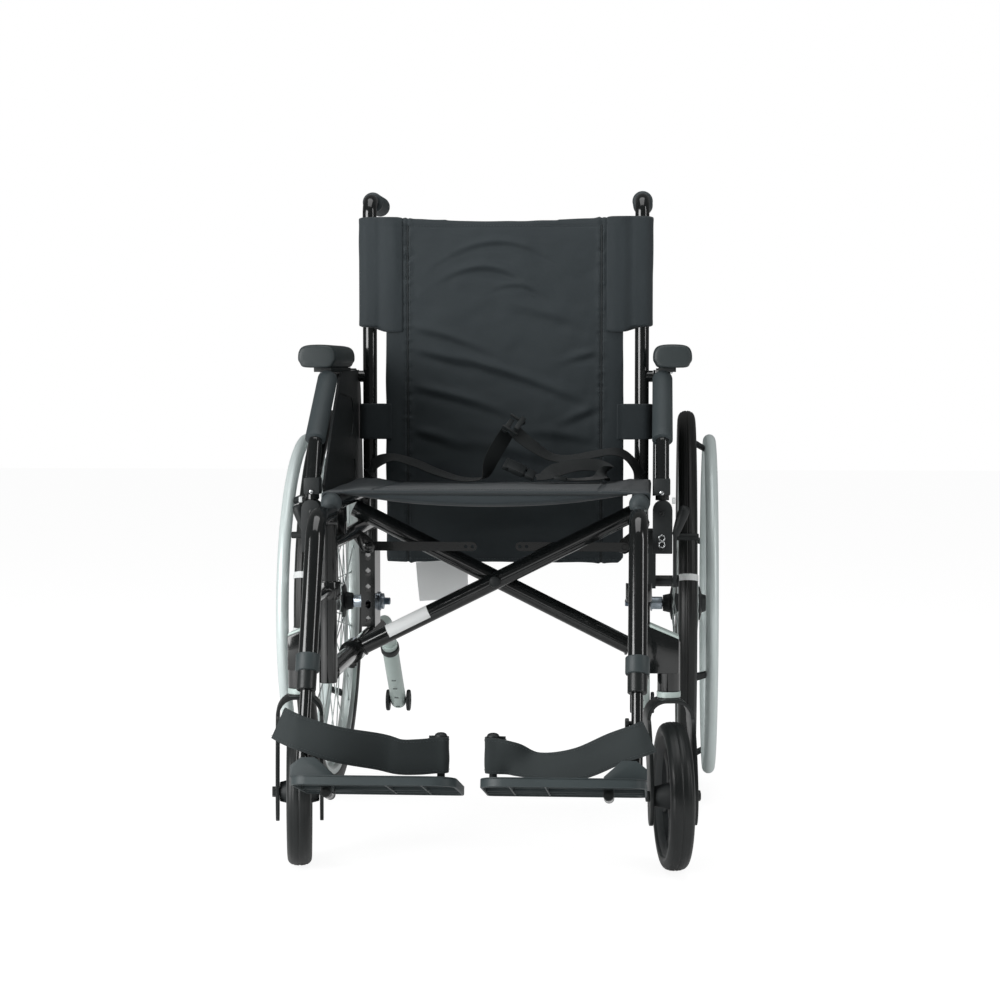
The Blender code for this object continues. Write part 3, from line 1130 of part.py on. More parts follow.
def make_strut(name, side):
    front = -side
    near = FOLD_F + front * STRUT_GAP
    far = near + front * STRUT_THICK
    half = STRUT_HEIGHT / 2
    start = strut_pivot(side)
    start.y = at(0, near, 0).y
    end = start - AXIS_X * side * STRUT_LENGTH
    middle = (start + end) / 2
    outline = stadium(middle, AXIS_X, AXIS_Z, STRUT_LENGTH / 2, half, 5)
    bar_plate = prism(outline, AXIS_FORE * (far - near))
    cuts = [bar(start + AXIS_FORE * 0.01, start - AXIS_FORE * 0.01, BOLT_R + PIN_CLEARANCE * 2)]
    for inset in (0.0, 0.010):
        hole = end + AXIS_X * side * inset
        cuts.append(bar(hole + AXIS_FORE * 0.01, hole - AXIS_FORE * 0.01, 0.0027, 8))
    node(f"{name}_strut", BLACK_PAINT, f"strut_{name}", [bar_plate], cuts)


def make_cross_bolt():
    reach = CROSS_LAYER + CROSS_TUBE_R + GAP
    profile = [
        (BOLT_HEAD_R, -reach - 0.006), (BOLT_HEAD_R, -reach), (BOLT_R, -reach + 0.0001),
        (BOLT_R, reach), (BOLT_HEAD_R, reach + 0.0001), (BOLT_HEAD_R, reach + 0.003),
        (BOLT_HEAD_R - 0.003, reach + 0.006),
    ]
    bolt = spun(profile, at(0, FOLD_F, CROSS_CENTRE_Z), AXIS_FORE)
    node("cross_bolt", BLACK_PLASTIC, "cross_right", [bolt])


def make_seat():
    """Padded sling over the two seat rails, sagging into a belly between them."""
    rail_top = SEAT_RAIL_Z + RAIL_R + GAP
    outer = FRAME_X + RAIL_R + GAP
    flap = outer + SEAT_FLAP_THICK
    inner = FRAME_X - RAIL_R - 0.001
    half = []
    steps = 5
    for i in range(steps + 1):
        x = inner * i / steps
        half.append((x, 0.0, SEAT_BELLY_Z + (rail_top - SEAT_BELLY_Z) * (i / steps) ** 2))
    lower = half + [(outer, 0.0, rail_top), (outer, 0.0, SEAT_FLAP_Z), (flap, 0.0, SEAT_FLAP_Z)]
    upper = [(flap, 1.0, SEAT_TOP_Z - 0.003), (FRAME_X + 0.009, 1.0, SEAT_TOP_Z)]
    for i in range(steps, -1, -1):
        upper.append((inner * i / steps, 1.0, SEAT_TOP_Z))
    side_points = lower + upper
    outline = side_points + [(-x, kind, z) for x, kind, z in reversed(side_points[1:-1])]
    rings = []
    count = 11
    for j in range(count + 1):
        share = j / count
        fore = SEAT_REAR_F + (SEAT_FRONT_F - SEAT_REAR_F) * (0.5 - 0.5 * math.cos(math.pi * share))
        edge = min(1.0, math.sin(math.pi * share) * 3.2)
        ring_points = []
        for x, kind, z in outline:
            crown = 0.0
            if kind:
                crown = -0.004 * (1 - edge) - 0.0012 * (1 - (x / flap) ** 2) * math.cos(4 * math.pi * share)
            elif abs(x) < inner:
                lift = (rail_top - z) * (1 - edge) * 0.45
                crown = lift
            ring_points.append(at(x, fore, z + crown))
        rings.append(ring_points)
    node("seat_sling", NYLON, "cross_right", [loft(rings)], smooth=60)


def back_front(x, z):
    """Fore place of the back's front face: a padded belly with long creases."""
    low, high = BACK_EDGE_X
    across = max(0.0, 1 - ((2 * x - low - high) / (high - low)) ** 2)
    up = (z - BACK_BOTTOM_Z) / (BACK_TOP_Z - BACK_BOTTOM_Z)
    ends = min(1.0, 6 * (1 - up)) * min(1.0, 4 * up)
    crease = math.sin(38 * z + 9 * x + 1.2) * 0.55 + math.sin(71 * z - 16 * x) * 0.45
    return BACK_REAR_F + 0.0085 + (0.0025 + 0.0016 * crease) * across * ends


def make_back():
    """Padded back with sleeves round the canes at the top and bands round them lower down."""
    low, high = BACK_EDGE_X
    columns = [low + (high - low) * i / 10 for i in range(11)]
    rows = 22
    heights = [BACK_BOTTOM_Z + (BACK_TOP_Z - BACK_BOTTOM_Z) * j / rows for j in range(rows + 1)]
    rings = []
    for z in heights:
        front = [at(x, back_front(x, z), z) for x in columns]
        rear = [at(x, BACK_REAR_F, z) for x in (high, (low + high) / 2, low)]
        rings.append(front + rear)
    adds = [loft(rings)]
    cuts = []
    thick = back_front(low, BACK_TOP_Z) - BACK_REAR_F
    for side in (-1, 1):
        for bottom, top in (BACK_WING_Z, BACK_BAND_Z):
            edge = low if side < 0 else high
            reach = abs(edge) - 0.004
            adds.append(box(side, reach, FRAME_X + 0.006, BACK_REAR_F + 0.0003,
                            BACK_REAR_F + thick - 0.0003, bottom, top - 0.0004))
            adds.append(bar(at(side * FRAME_X, CANE_F, bottom + 0.0005),
                            at(side * FRAME_X, CANE_F, top - 0.0008), BACK_SLEEVE_R, BORE_SIDES))
        cuts.append(bar(at(side * FRAME_X, CANE_F, 0.5), at(side * FRAME_X, CANE_F, 0.95),
                        CANE_R + 2 * GAP, BORE_SIDES))
    node("back_upholstery", NYLON, "frame_right", adds, cuts, smooth=60)


def make_belt():
    """Lap belt lying across the seat, with its buckle and the strap's slider loop."""
    touch = CANE_R + BELT_THICK + 0.0030
    start = FRAME_X - touch * 0.5
    start_f = CANE_F + touch * math.sqrt(0.75)
    # Side place, fore place and height over the seat
    route = [
        (-start, start_f, 0.0130), (-0.190, 0.080, 0.0180), (-0.168, 0.100, 0.0230),
        (-0.110, 0.150, 0.0180), (-0.040, 0.185, 0.0090), (0.006, 0.200, 0.0080),
        (0.060, 0.200, 0.0110), (0.120, 0.155, 0.0250), (0.172, 0.104, 0.0290),
        (0.194, 0.078, 0.0210), (start, start_f, 0.0120),
    ]
    route = [(x, fore, SEAT_TOP_Z + rise) for x, fore, rise in route]
    rings = []
    for i, (x, fore, z) in enumerate(route):
        here = at(x, fore, z)
        ahead = at(*route[min(i + 1, len(route) - 1)])
        behind = at(*route[max(i - 1, 0)])
        along = (ahead - behind).normalized()
        share = abs(x) / start
        lean = Vector((0, -math.cos(1.35 * share), math.sin(1.35 * share)))
        width = (lean - along * lean.dot(along)).normalized() * BELT_WIDTH / 2
        out = along.cross(width).normalized() * BELT_THICK / 2
        rings.append([here - width - out, here + width - out, here + width + out, here - width + out])
    buckle = box(1, 0.008, 0.008 + BUCKLE_LENGTH, 0.183, 0.183 + BUCKLE_WIDTH,
                 SEAT_TOP_Z + 0.004, SEAT_TOP_Z + 0.004 + BUCKLE_THICK)
    node("lap_belt", WEBBING, "frame_right", [loft(rings), buckle], smooth=50)


make_bodies()
for side_name, side_sign in SIDES.items():
    make_side_frame(side_name, side_sign)
    make_push_grip(side_name, side_sign)
    make_axle(side_name, side_sign)
    make_rear_wheel(side_name, side_sign)
    make_caster(side_name, side_sign)
    make_hanger(side_name, side_sign)
    make_footrest(side_name, side_sign)
    make_footplate(side_name, side_sign)
    make_heel_strap(side_name, side_sign)
    make_armrest(side_name, side_sign)
    make_brake(side_name, side_sign)
    make_anti_tip(side_name, side_sign)
    make_cross_member(side_name, side_sign)
    make_strut(side_name, side_sign)
make_cross_bolt()
make_seat()
make_back()
make_belt()
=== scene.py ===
# %% [markdown]
# # A folding wheelchair
# The solids of the chair are already built and joined. This file loads them as a fixed frame and gives
# each piece its finished shape and surface: gloss black tubes, padded nylon, silver hand rims, webbing.

# %% Load the frame
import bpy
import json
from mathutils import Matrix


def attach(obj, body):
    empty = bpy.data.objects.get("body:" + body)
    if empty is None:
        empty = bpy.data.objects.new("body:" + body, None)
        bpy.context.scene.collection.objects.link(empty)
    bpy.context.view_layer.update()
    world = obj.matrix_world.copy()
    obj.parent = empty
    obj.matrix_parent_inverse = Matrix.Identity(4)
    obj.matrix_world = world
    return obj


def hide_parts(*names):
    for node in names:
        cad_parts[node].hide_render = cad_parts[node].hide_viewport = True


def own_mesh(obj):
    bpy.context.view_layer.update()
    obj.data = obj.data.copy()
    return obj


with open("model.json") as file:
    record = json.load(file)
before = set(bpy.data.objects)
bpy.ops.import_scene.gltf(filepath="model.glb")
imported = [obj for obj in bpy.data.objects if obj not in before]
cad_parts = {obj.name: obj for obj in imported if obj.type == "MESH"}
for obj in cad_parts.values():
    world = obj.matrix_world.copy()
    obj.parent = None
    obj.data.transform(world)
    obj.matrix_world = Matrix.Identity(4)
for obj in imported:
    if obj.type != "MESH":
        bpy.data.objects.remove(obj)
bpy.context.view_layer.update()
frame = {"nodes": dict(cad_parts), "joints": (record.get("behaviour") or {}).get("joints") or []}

import json
import math

import bmesh
import bpy
import numpy as np
from mathutils import Matrix, Vector, noise
from mathutils.bvhtree import BVHTree

# %% [markdown]
# The chair faces -Y and stands on Z = 0. Places along it are easier to read as a distance ahead of the
# rear axle, so every point goes through one small function. The axle's own place comes from its joint.

# %% Places
JOINT = {joint["name"]: joint for joint in frame["joints"]}
AXLE_Y = JOINT["rear_wheel_right_roll"]["pos_m"][1]
SIDES = {"right": -1, "left": 1}
AXIS_X = Vector((1, 0, 0))
AXIS_FORE = Vector((0, -1, 0))
AXIS_Z = Vector((0, 0, 1))
GAP = 0.0003

def at(x, fore, z):
    """Point from its side distance, its distance ahead of the rear axle and its height."""
    return Vector((x, AXLE_Y - fore, z))


def in_wheel(turn):
    """Unit direction in the plane of a rear wheel."""
    return Vector((0, math.cos(turn), math.sin(turn)))


scene = bpy.context.scene
print("axle at", round(AXLE_Y, 5))

# %% [markdown]
# The photograph was taken from a little above the armrests with a long lens. A focal length of 2300
# pixels on a 1000 pixel frame is 82.8 mm on Blender's 36 mm sensor. Soft light from a white surround and
# three large lamps keeps black pieces readable: dark surfaces show mostly what they mirror.

# %% Camera, light and floor
eye = bpy.data.objects.new("camera", bpy.data.cameras.new("camera"))
scene.collection.objects.link(eye)
eye.data.lens = 82.8
eye.data.sensor_width = 36.0
eye.location = (0.236, -3.641 + AXLE_Y, 0.676)
eye.rotation_euler = (math.radians(90 - 3.27), 0.0, math.radians(3.89))
scene.camera = eye
scene.view_settings.view_transform = "Standard"


def lamp(name, place, target, size, power):
    light = bpy.data.lights.new(name, "AREA")
    light.shape = "RECTANGLE"
    light.size, light.size_y = size
    light.energy = power
    holder = bpy.data.objects.new(name, light)
    scene.collection.objects.link(holder)
    holder.location = place
    holder.rotation_euler = (Vector(target) - Vector(place)).to_track_quat("-Z", "Y").to_euler()


lamp("left_softbox", (-2.3, -2.3, 1.2), (0, 0, 0.5), (2.0, 2.0), 88)
lamp("right_softbox", (2.6, -1.2, 1.5), (0, 0, 0.5), (0.5, 2.2), 16)
lamp("top_softbox", (0.0, -0.4, 3.2), (0, 0, 0.4), (2.4, 2.4), 32)


def white_to_camera(tree, surface, share):
    """Mix a surface with plain white for the camera and for what is seen through glass."""
    rays = tree.nodes.new("ShaderNodeLightPath")
    either = tree.nodes.new("ShaderNodeMath")
    either.operation = "MAXIMUM"
    tree.links.new(rays.outputs["Is Camera Ray"], either.inputs[0])
    tree.links.new(rays.outputs["Is Transmission Ray"], either.inputs[1])
    scaled = tree.nodes.new("ShaderNodeMath")
    scaled.operation = "MULTIPLY"
    scaled.inputs[1].default_value = share
    tree.links.new(either.outputs[0], scaled.inputs[0])
    mix = tree.nodes.new("ShaderNodeMixShader")
    tree.links.new(scaled.outputs[0], mix.inputs[0])
    tree.links.new(surface, mix.inputs[1])
    return mix


world = bpy.data.worlds.new("studio")
scene.world = world
world.use_nodes = True
sky = world.node_tree
ambient = sky.nodes["Background"]
ambient.inputs["Color"].default_value = (1.0, 1.0, 1.0, 1.0)
ambient.inputs["Strength"].default_value = 0.42
white = sky.nodes.new("ShaderNodeBackground")
white.inputs["Color"].default_value = (1.0, 1.0, 1.0, 1.0)
white.inputs["Strength"].default_value = 1.0
rays = sky.nodes.new("ShaderNodeLightPath")
dimmed = sky.nodes.new("ShaderNodeMath")
dimmed.operation = "MULTIPLY_ADD"
dimmed.inputs[1].default_value = -0.26
dimmed.inputs[2].default_value = 0.36
sky.links.new(rays.outputs["Is Glossy Ray"], dimmed.inputs[0])
sky.links.new(dimmed.outputs[0], ambient.inputs["Strength"])
sky_mix = white_to_camera(sky, ambient.outputs[0], 1.0)
sky.links.new(white.outputs[0], sky_mix.inputs[2])
sky.links.new(sky_mix.outputs[0], sky.nodes["World Output"].inputs["Surface"])

floor_mesh = bpy.data.meshes.new("floor")
floor_mesh.from_pydata([(-9, -7, 0), (9, -7, 0), (9, 12, 0), (-9, 12, 0)], [], [(0, 1, 2, 3)])
floor = bpy.data.objects.new("floor", floor_mesh)
scene.collection.objects.link(floor)
floor_look = bpy.data.materials.new("floor")
floor_look.use_nodes = True
floor_tree = floor_look.node_tree
floor_tree.nodes.remove(floor_tree.nodes["Principled BSDF"])
diffuse = floor_tree.nodes.new("ShaderNodeBsdfDiffuse")
diffuse.inputs["Color"].default_value = (0.90, 0.90, 0.90, 1.0)
glow = floor_tree.nodes.new("ShaderNodeEmission")
glow.inputs["Strength"].default_value = 1.18
floor_mix = white_to_camera(floor_tree, diffuse.outputs[0], 0.76)
floor_tree.links.new(glow.outputs[0], floor_mix.inputs[2])
floor_tree.links.new(floor_mix.outputs[0], floor_tree.nodes["Material Output"].inputs["Surface"])
floor_mesh.materials.append(floor_look)
print("camera at", [round(v, 3) for v in eye.location])

# %% [markdown]
# A finish is a node tree, and a tree is easier to read as a sum. Sock wraps one output, so
# `rough * 0.2 + 0.4` adds its Math nodes. Look holds one material and one method that makes any node.

# %% Sockets as numbers
class Sock:
    """One output of a material's tree, which can be added to and multiplied."""

    def __init__(self, look, out):
        self.look, self.out = look, out

    def __add__(self, other):
        return self.look.node("ShaderNodeMath", {"operation": "ADD"}, {0: self, 1: other})

    def __mul__(self, other):
        return self.look.node("ShaderNodeMath", {"operation": "MULTIPLY"}, {0: self, 1: other})


class Look:
    def __init__(self, name, **fixed):
        self.material = bpy.data.materials.new(name)
        self.material.use_nodes = True
        self.tree = self.material.node_tree
        self.shader = self.tree.nodes["Principled BSDF"]
        for socket, value in fixed.items():
            self.shader.inputs[socket.replace("_", " ").title().replace("Ior", "IOR")].default_value = value

    def node(self, kind, settings=None, values=None, output=0):
        made = self.tree.nodes.new(kind)
        for key, value in (settings or {}).items():
            if key == "stops":
                for stop, (place, tint) in zip(made.color_ramp.elements, value):
                    stop.position = place
                    stop.color = tint
            else:
                setattr(made, key, value)
        for key, value in (values or {}).items():
            if isinstance(value, Sock):
                self.tree.links.new(value.out, made.inputs[key])
            else:
                made.inputs[key].default_value = value
        return Sock(self, made.outputs[output])

    def point(self):
        return self.node("ShaderNodeTexCoord", output="Object")

    def speckle(self, scale, detail=2.0):
        values = {"Vector": self.point(), "Scale": scale, "Detail": detail}
        return self.node("ShaderNodeTexNoise", None, values)

    def step(self, value, low, high):
        ends = {"stops": [(low, (0, 0, 0, 1)), (high, (1, 1, 1, 1))]}
        return self.node("ShaderNodeValToRGB", ends, {"Fac": value})

    def tint(self, mask, dark, light):
        values = {0: mask, 6: (*dark, 1.0), 7: (*light, 1.0)}
        return self.node("ShaderNodeMix", {"data_type": "RGBA"}, values, 2)

    def feed(self, socket, value):
        self.tree.links.new(value.out, self.shader.inputs[socket])

    def bump(self, height, distance, under=None):
        values = {"Height": height, "Distance": distance, "Strength": 1.0}
        if under:
            values["Normal"] = under
        return self.node("ShaderNodeBump", None, values)


print("shader helpers ready")

# %% [markdown]
# The frame tubes are powder coated: black, glossy, with a faint orange peel and light handling marks.
# The moulded pieces are black plastic with a spark-eroded grain, so their highlights spread wide.

# %% Paints and plastics
def painted(name, dark, light, rough, metallic=0.0, coat=0.0, peel=0.00003):
    look = Look(name, metallic=metallic, coat_weight=coat, coat_roughness=0.06)
    cloud = look.speckle(9.0, 3.0)
    mark = look.step(look.speckle(46.0, 5.0), 0.60, 0.72)
    look.feed("Base Color", look.tint(cloud, dark, light))
    look.feed("Roughness", cloud * 0.10 + mark * 0.10 + (rough - 0.05))
    look.feed("Normal", look.bump(look.speckle(420.0, 1.0), peel))
    return look.material


def moulded(name, dark, light, rough, grain, depth):
    look = Look(name, specular_ior_level=0.42)
    cloud = look.speckle(14.0, 4.0)
    fine = look.speckle(grain, 2.0)
    look.feed("Base Color", look.tint(cloud, dark, light))
    look.feed("Roughness", cloud * 0.12 + fine * 0.10 + (rough - 0.10))
    look.feed("Normal", look.bump(fine, depth))
    return look.material


GLOSS_BLACK = painted("gloss_black", (0.0045, 0.0055, 0.0055), (0.008, 0.0095, 0.0095), 0.14, 0.0, 0.65)
SATIN_BLACK = painted("satin_black", (0.008, 0.010, 0.010), (0.015, 0.018, 0.018), 0.36)
SILVER = painted("hand_rim_silver", (0.62, 0.70, 0.69), (0.72, 0.80, 0.79), 0.36, 0.25)
RIM_METAL = painted("rim_metal", (0.44, 0.49, 0.48), (0.58, 0.63, 0.62), 0.30, 0.70)
LEG_GREY = painted("leg_grey", (0.47, 0.56, 0.53), (0.57, 0.66, 0.63), 0.38, 0.20)
ZINC = painted("zinc_plate", (0.36, 0.43, 0.50), (0.56, 0.61, 0.66), 0.28, 0.95)
GRAINED = moulded("grained_plastic", (0.009, 0.0115, 0.012), (0.018, 0.022, 0.023), 0.50, 1500.0, 0.00012)
FOOT_PLASTIC = moulded("foot_plastic", (0.028, 0.038, 0.040), (0.046, 0.060, 0.063), 0.46, 1100.0, 0.00014)
FOAM = moulded("foam_skin", (0.026, 0.034, 0.037), (0.044, 0.057, 0.061), 0.58, 2200.0, 0.00010)
PAD_SKIN = moulded("pad_skin", (0.022, 0.029, 0.030), (0.038, 0.048, 0.050), 0.42, 1700.0, 0.00016)
RUBBER = moulded("tyre_rubber", (0.004, 0.005, 0.005), (0.009, 0.0105, 0.010), 0.40, 700.0, 0.00015)
CASTER_RUBBER = moulded("caster_rubber", (0.007, 0.0085, 0.0085), (0.015, 0.018, 0.018), 0.36, 700.0, 0.00012)
# The pale look also paints the reflection bands on the rear tyres.
PALE = moulded("pale_plastic_and_painted_reflection", (0.60, 0.62, 0.62), (0.70, 0.72, 0.72), 0.45, 1300.0, 0.00005)
PAPER = moulded("bare_label", (0.74, 0.76, 0.76), (0.82, 0.84, 0.84), 0.60, 900.0, 0.00003)
BRIGHT = painted("bright_screw", (0.55, 0.57, 0.58), (0.75, 0.77, 0.78), 0.22, 1.0)
print("paints and plastics ready")

# %% [markdown]
# The cloth is a dense plain weave of black nylon. Two waves across each other make the weave's bump, a
# third and slower noise varies the dye and the shine, and a little sheen lifts the edges. Webbing is
# the same yarn woven into ribs, which follow the strap because they are read from its own UV map.

# %% Cloth and webbing
BANDS_PER_SCALE = 3.1


def woven(name, dark, light, pitch, rough):
    look = Look(name, sheen_weight=0.10, sheen_roughness=0.45, specular_ior_level=0.32)
    values = {"Scale": 1 / pitch / BANDS_PER_SCALE, "Distortion": 0.6}
    across, up = [look.node("ShaderNodeTexWave", {"bands_direction": way}, {"Vector": look.point(), **values})
                  for way in "XZ"]
    weave = across * up
    cloud = look.speckle(7.0, 5.0)
    fuzz = look.speckle(260.0, 3.0)
    look.feed("Base Color", look.tint(cloud * 0.6 + weave * 0.25 + fuzz * 0.15, dark, light))
    look.feed("Roughness", cloud * 0.12 + weave * 0.08 + (rough - 0.10))
    look.feed("Normal", look.bump(weave, 0.00012, look.bump(fuzz, 0.00010)))
    return look.material


def webbed(name, dark, light, rib, rough):
    look = Look(name, sheen_weight=0.12, sheen_roughness=0.4, specular_ior_level=0.35)
    place = look.node("ShaderNodeTexCoord", output="UV")
    ribs = look.node("ShaderNodeTexWave", {"bands_direction": "X"},
                     {"Vector": place, "Scale": 1 / rib / BANDS_PER_SCALE, "Distortion": 0.4})
    yarn = look.node("ShaderNodeTexWave", {"bands_direction": "Y"},
                     {"Vector": place, "Scale": 1 / rib / 1.8, "Distortion": 0.8})
    cloud = look.speckle(18.0, 4.0)
    look.feed("Base Color", look.tint(ribs * 0.35 + yarn * 0.2 + cloud * 0.45, dark, light))
    look.feed("Roughness", cloud * 0.14 + (rough - 0.07))
    look.feed("Normal", look.bump(ribs * 0.7 + yarn * 0.3, 0.00020))
    return look.material


NYLON = woven("seat_nylon", (0.0185, 0.0250, 0.0285), (0.0340, 0.0440, 0.0490), 0.0011, 0.72)
HEM = woven("hem_nylon", (0.011, 0.0145, 0.016), (0.022, 0.028, 0.030), 0.0011, 0.66)
STRAP_CLOTH = woven("strap_nylon", (0.020, 0.026, 0.027), (0.034, 0.042, 0.043), 0.0012, 0.78)
WEBBING = webbed("belt_webbing", (0.006, 0.0078, 0.0082), (0.014, 0.0175, 0.0185), 0.0016, 0.58)
THREAD = woven("thread", (0.040, 0.050, 0.053), (0.066, 0.080, 0.085), 0.0006, 0.6)
print("cloth ready")

# %% [markdown]
# Tubes, turned pieces and plates cover most of a chair. Each helper returns one closed shell with its
# faces turned outwards, and `piece` gathers shells into a finished object at the origin, so a pattern
# on object coordinates stays still. A small chamfer on every edge is what catches the light.

# %% Shells
def shell(rings, closed=False, chamfer=0.0):
    """Skin rings of equal length, capped at the ends or closed on itself."""
    bm = bmesh.new()
    grid = [[bm.verts.new(point) for point in ring] for ring in rings]
    count = len(rings[0])
    for i in range(len(grid) if closed else len(grid) - 1):
        here, there = grid[i], grid[(i + 1) % len(grid)]
        for j in range(count):
            k = (j + 1) % count
            bm.faces.new((here[j], here[k], there[k], there[j]))
    if not closed:
        bm.faces.new(grid[0])
        bm.faces.new(grid[-1])
    bmesh.ops.recalc_face_normals(bm, faces=bm.faces)
    if bm.calc_volume(signed=True) < 0:
        bmesh.ops.reverse_faces(bm, faces=bm.faces)
    if chamfer:
        sharp = [edge for edge in bm.edges if edge.calc_face_angle(0.0) > math.radians(34)]
        bmesh.ops.bevel(bm, geom=sharp, offset=chamfer, segments=2, profile=0.6, affect="EDGES",
                        clamp_overlap=True)
    return bm


def cross_axes(axis, start=None):
    """Two unit directions square to a unit axis and to each other."""
    start = start or (AXIS_Z if abs(axis.z) < 0.9 else AXIS_X)
    u = (start - axis * start.dot(axis)).normalized()
    return u, axis.cross(u)


def circle(centre, axis, radius, sides, start=None):
    u, v = cross_axes(axis.normalized(), start)
    turns = [2 * math.pi * i / sides for i in range(sides)]
    return [centre + radius * (u * math.cos(t) + v * math.sin(t)) for t in turns]


def mirrored(half, middle=()):
    """Profile from its half: the same points again, backwards, with the second number negative."""
    return [*half, *middle, *((a, -b) for a, b in reversed(half))]


def lathe(profile, centre, axis, sides=40):
    axis = axis.normalized()
    return shell([circle(centre + axis * along, axis, radius, sides) for radius, along in profile])


def bar(start, end, radius, sides=32, ease=0.0006):
    length = (end - start).length
    profile = [(radius - ease, 0), (radius, ease), (radius, length - ease), (radius - ease, length)]
    return lathe(profile, start, end - start, sides)


def hoop(profile, centre, axis, sides=72):
    """Turn a closed profile of (radius, along) round an axis."""
    axis = axis.normalized()
    u, v = cross_axes(axis)
    rings = []
    for i in range(sides):
        turn = 2 * math.pi * i / sides
        out = u * math.cos(turn) + v * math.sin(turn)
        rings.append([centre + axis * along + out * radius for radius, along in profile])
    return shell(rings, closed=True)


def rounded(points, radii, steps=10):
    path = [points[0]]
    for before, corner, after, radius in zip(points, points[1:], points[2:], radii):
        a = (before - corner).normalized()
        b = (after - corner).normalized()
        half = a.angle(b) / 2
        inset = radius / math.tan(half)
        centre = corner + (a + b).normalized() * (radius / math.sin(half))
        first = (corner + a * inset - centre).normalized()
        last = (corner + b * inset - centre).normalized()
        path += [centre + radius * first.slerp(last, i / steps) for i in range(steps + 1)]
    path.append(points[-1])
    return path


def pipe(path, radius, sides=32):
    rings = []
    start = None
    for i, point in enumerate(path):
        back, ahead = path[max(i - 1, 0)], path[min(i + 1, len(path) - 1)]
        tangent = (ahead - back).normalized()
        if start is None:
            start = AXIS_X.copy() if abs(tangent.x) < 0.9 else AXIS_Z.copy()
        start = (start - tangent * start.dot(tangent)).normalized()
        size = radius(i / (len(path) - 1)) if callable(radius) else radius
        rings.append(circle(point, tangent, size, sides, start))
    return shell(rings)


def plate(outline, push, chamfer=0.0006):
    return shell([outline, [point + push for point in outline]], chamfer=chamfer)


def block(side, x0, x1, f0, f1, z0, z1, chamfer=0.0008):
    corners = [at(side * x0, f0, z0), at(side * x1, f0, z0), at(side * x1, f0, z1), at(side * x0, f0, z1)]
    return plate(corners, AXIS_FORE * (f1 - f0), chamfer)


def side_plate(side, x0, x1, outline, chamfer=0.0006):
    return plate([at(side * x0, fore, z) for fore, z in outline], AXIS_X * side * (x1 - x0), chamfer)


def front_plate(f0, f1, outline, chamfer=0.0006):
    return plate([at(x, f0, z) for x, z in outline], AXIS_FORE * (f1 - f0), chamfer)


def domed_screw(centre, axis, radius):
    """Pan head with a round socket sunk into it."""
    height, rim = 0.0022, radius * 0.55
    return lathe([(radius, 0), (radius, height * 0.35), (radius * 0.86, height * 0.8), (rim, height),
                  (rim * 0.95, height * 0.45), (rim * 0.2, height * 0.4)], centre, axis, 24)


def hexagon(centre, axis, radius, height):
    axis = axis.normalized()
    top = circle(centre + axis * height, axis, radius, 6)
    return shell([circle(centre, axis, radius, 6), top], chamfer=radius * 0.10)


print("shell helpers ready")

# %% [markdown]
# Every finished object goes through `object_of`. It rides on its body and hides the CAD nodes it stands for.
# `refined` adds a subdivision surface.

# %% Pieces
SLOT_LOOKS = {
    "black_paint": (GLOSS_BLACK, SATIN_BLACK), "silver_paint": (SILVER, RIM_METAL),
    "grey_paint": (LEG_GREY, PALE, PAPER), "zinc": (ZINC, BRIGHT), "black_plastic": (GRAINED, FOOT_PLASTIC),
    "soft_rubber": (FOAM, PAD_SKIN), "tyre": (RUBBER, CASTER_RUBBER),
    "nylon": (NYLON, HEM, STRAP_CLOTH, THREAD), "webbing": (WEBBING,)}
SLOT_OF = {look.name: slot for slot, looks in SLOT_LOOKS.items() for look in looks}


def object_of(name, mesh, look, body, nodes=(), smooth=38, slot=None):
    obj = bpy.data.objects.new(name, mesh)
    scene.collection.objects.link(obj)
    mesh.materials.clear()
    mesh.materials.append(look)
    mesh.shade_smooth()
    if smooth:
        mesh.set_sharp_from_angle(angle=math.radians(smooth))
    slot = slot or SLOT_OF[look.name]
    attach(obj, body)
    if nodes:
        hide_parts(*nodes)
    return obj


def evaluated(obj):
    """Plain mesh of an object with its modifiers applied."""
    return bpy.data.meshes.new_from_object(obj.evaluated_get(bpy.context.evaluated_depsgraph_get()))


def refined(mesh, levels=1):
    obj = bpy.data.objects.new("fine", mesh)
    scene.collection.objects.link(obj)
    smooth = obj.modifiers.new("smooth", "SUBSURF")
    smooth.levels = smooth.render_levels = levels
    fine = evaluated(obj)
    bpy.data.objects.remove(obj)
    return fine


def gathered(name, shells):
    merged = bmesh.new()
    for part in shells:
        temp = bpy.data.meshes.new("part")
        part.to_mesh(temp)
        part.free()
        merged.from_mesh(temp)
        bpy.data.meshes.remove(temp)
    mesh = bpy.data.meshes.new(name)
    merged.to_mesh(mesh)
    merged.free()
    return mesh


def piece(name, look, body, shells, nodes=(), smooth=38, slot=None):
    """One finished object from closed shells, riding on a body and standing for CAD nodes."""
    obj = object_of(name, gathered(name, shells), look, body, nodes, smooth, slot)
    print(name, len(obj.data.polygons), "faces on", body)
    return obj


def both(make):
    for name, side in SIDES.items():
        make(name, side)


# %% [markdown]
# Wires and stitches repeat along a line, which is what Geometry Nodes are good at. The first tree turns
# every edge of a mesh into a round wire. The second walks a seam at an even pitch and lays one small
# thread along it at each step. Both end in plain meshes, because instances would be lost on export.

# %% Geometry Nodes trees
def new_tree(name, inputs):
    tree = bpy.data.node_groups.new(name, "GeometryNodeTree")
    tree.interface.new_socket("Geometry", in_out="INPUT", socket_type="NodeSocketGeometry")
    for label, (kind, value) in inputs.items():
        socket = tree.interface.new_socket(label, in_out="INPUT", socket_type=kind)
        if value is not None:
            socket.default_value = value
    tree.interface.new_socket("Geometry", in_out="OUTPUT", socket_type="NodeSocketGeometry")
    return tree, tree.nodes.new("NodeGroupInput"), tree.nodes.new("NodeGroupOutput")


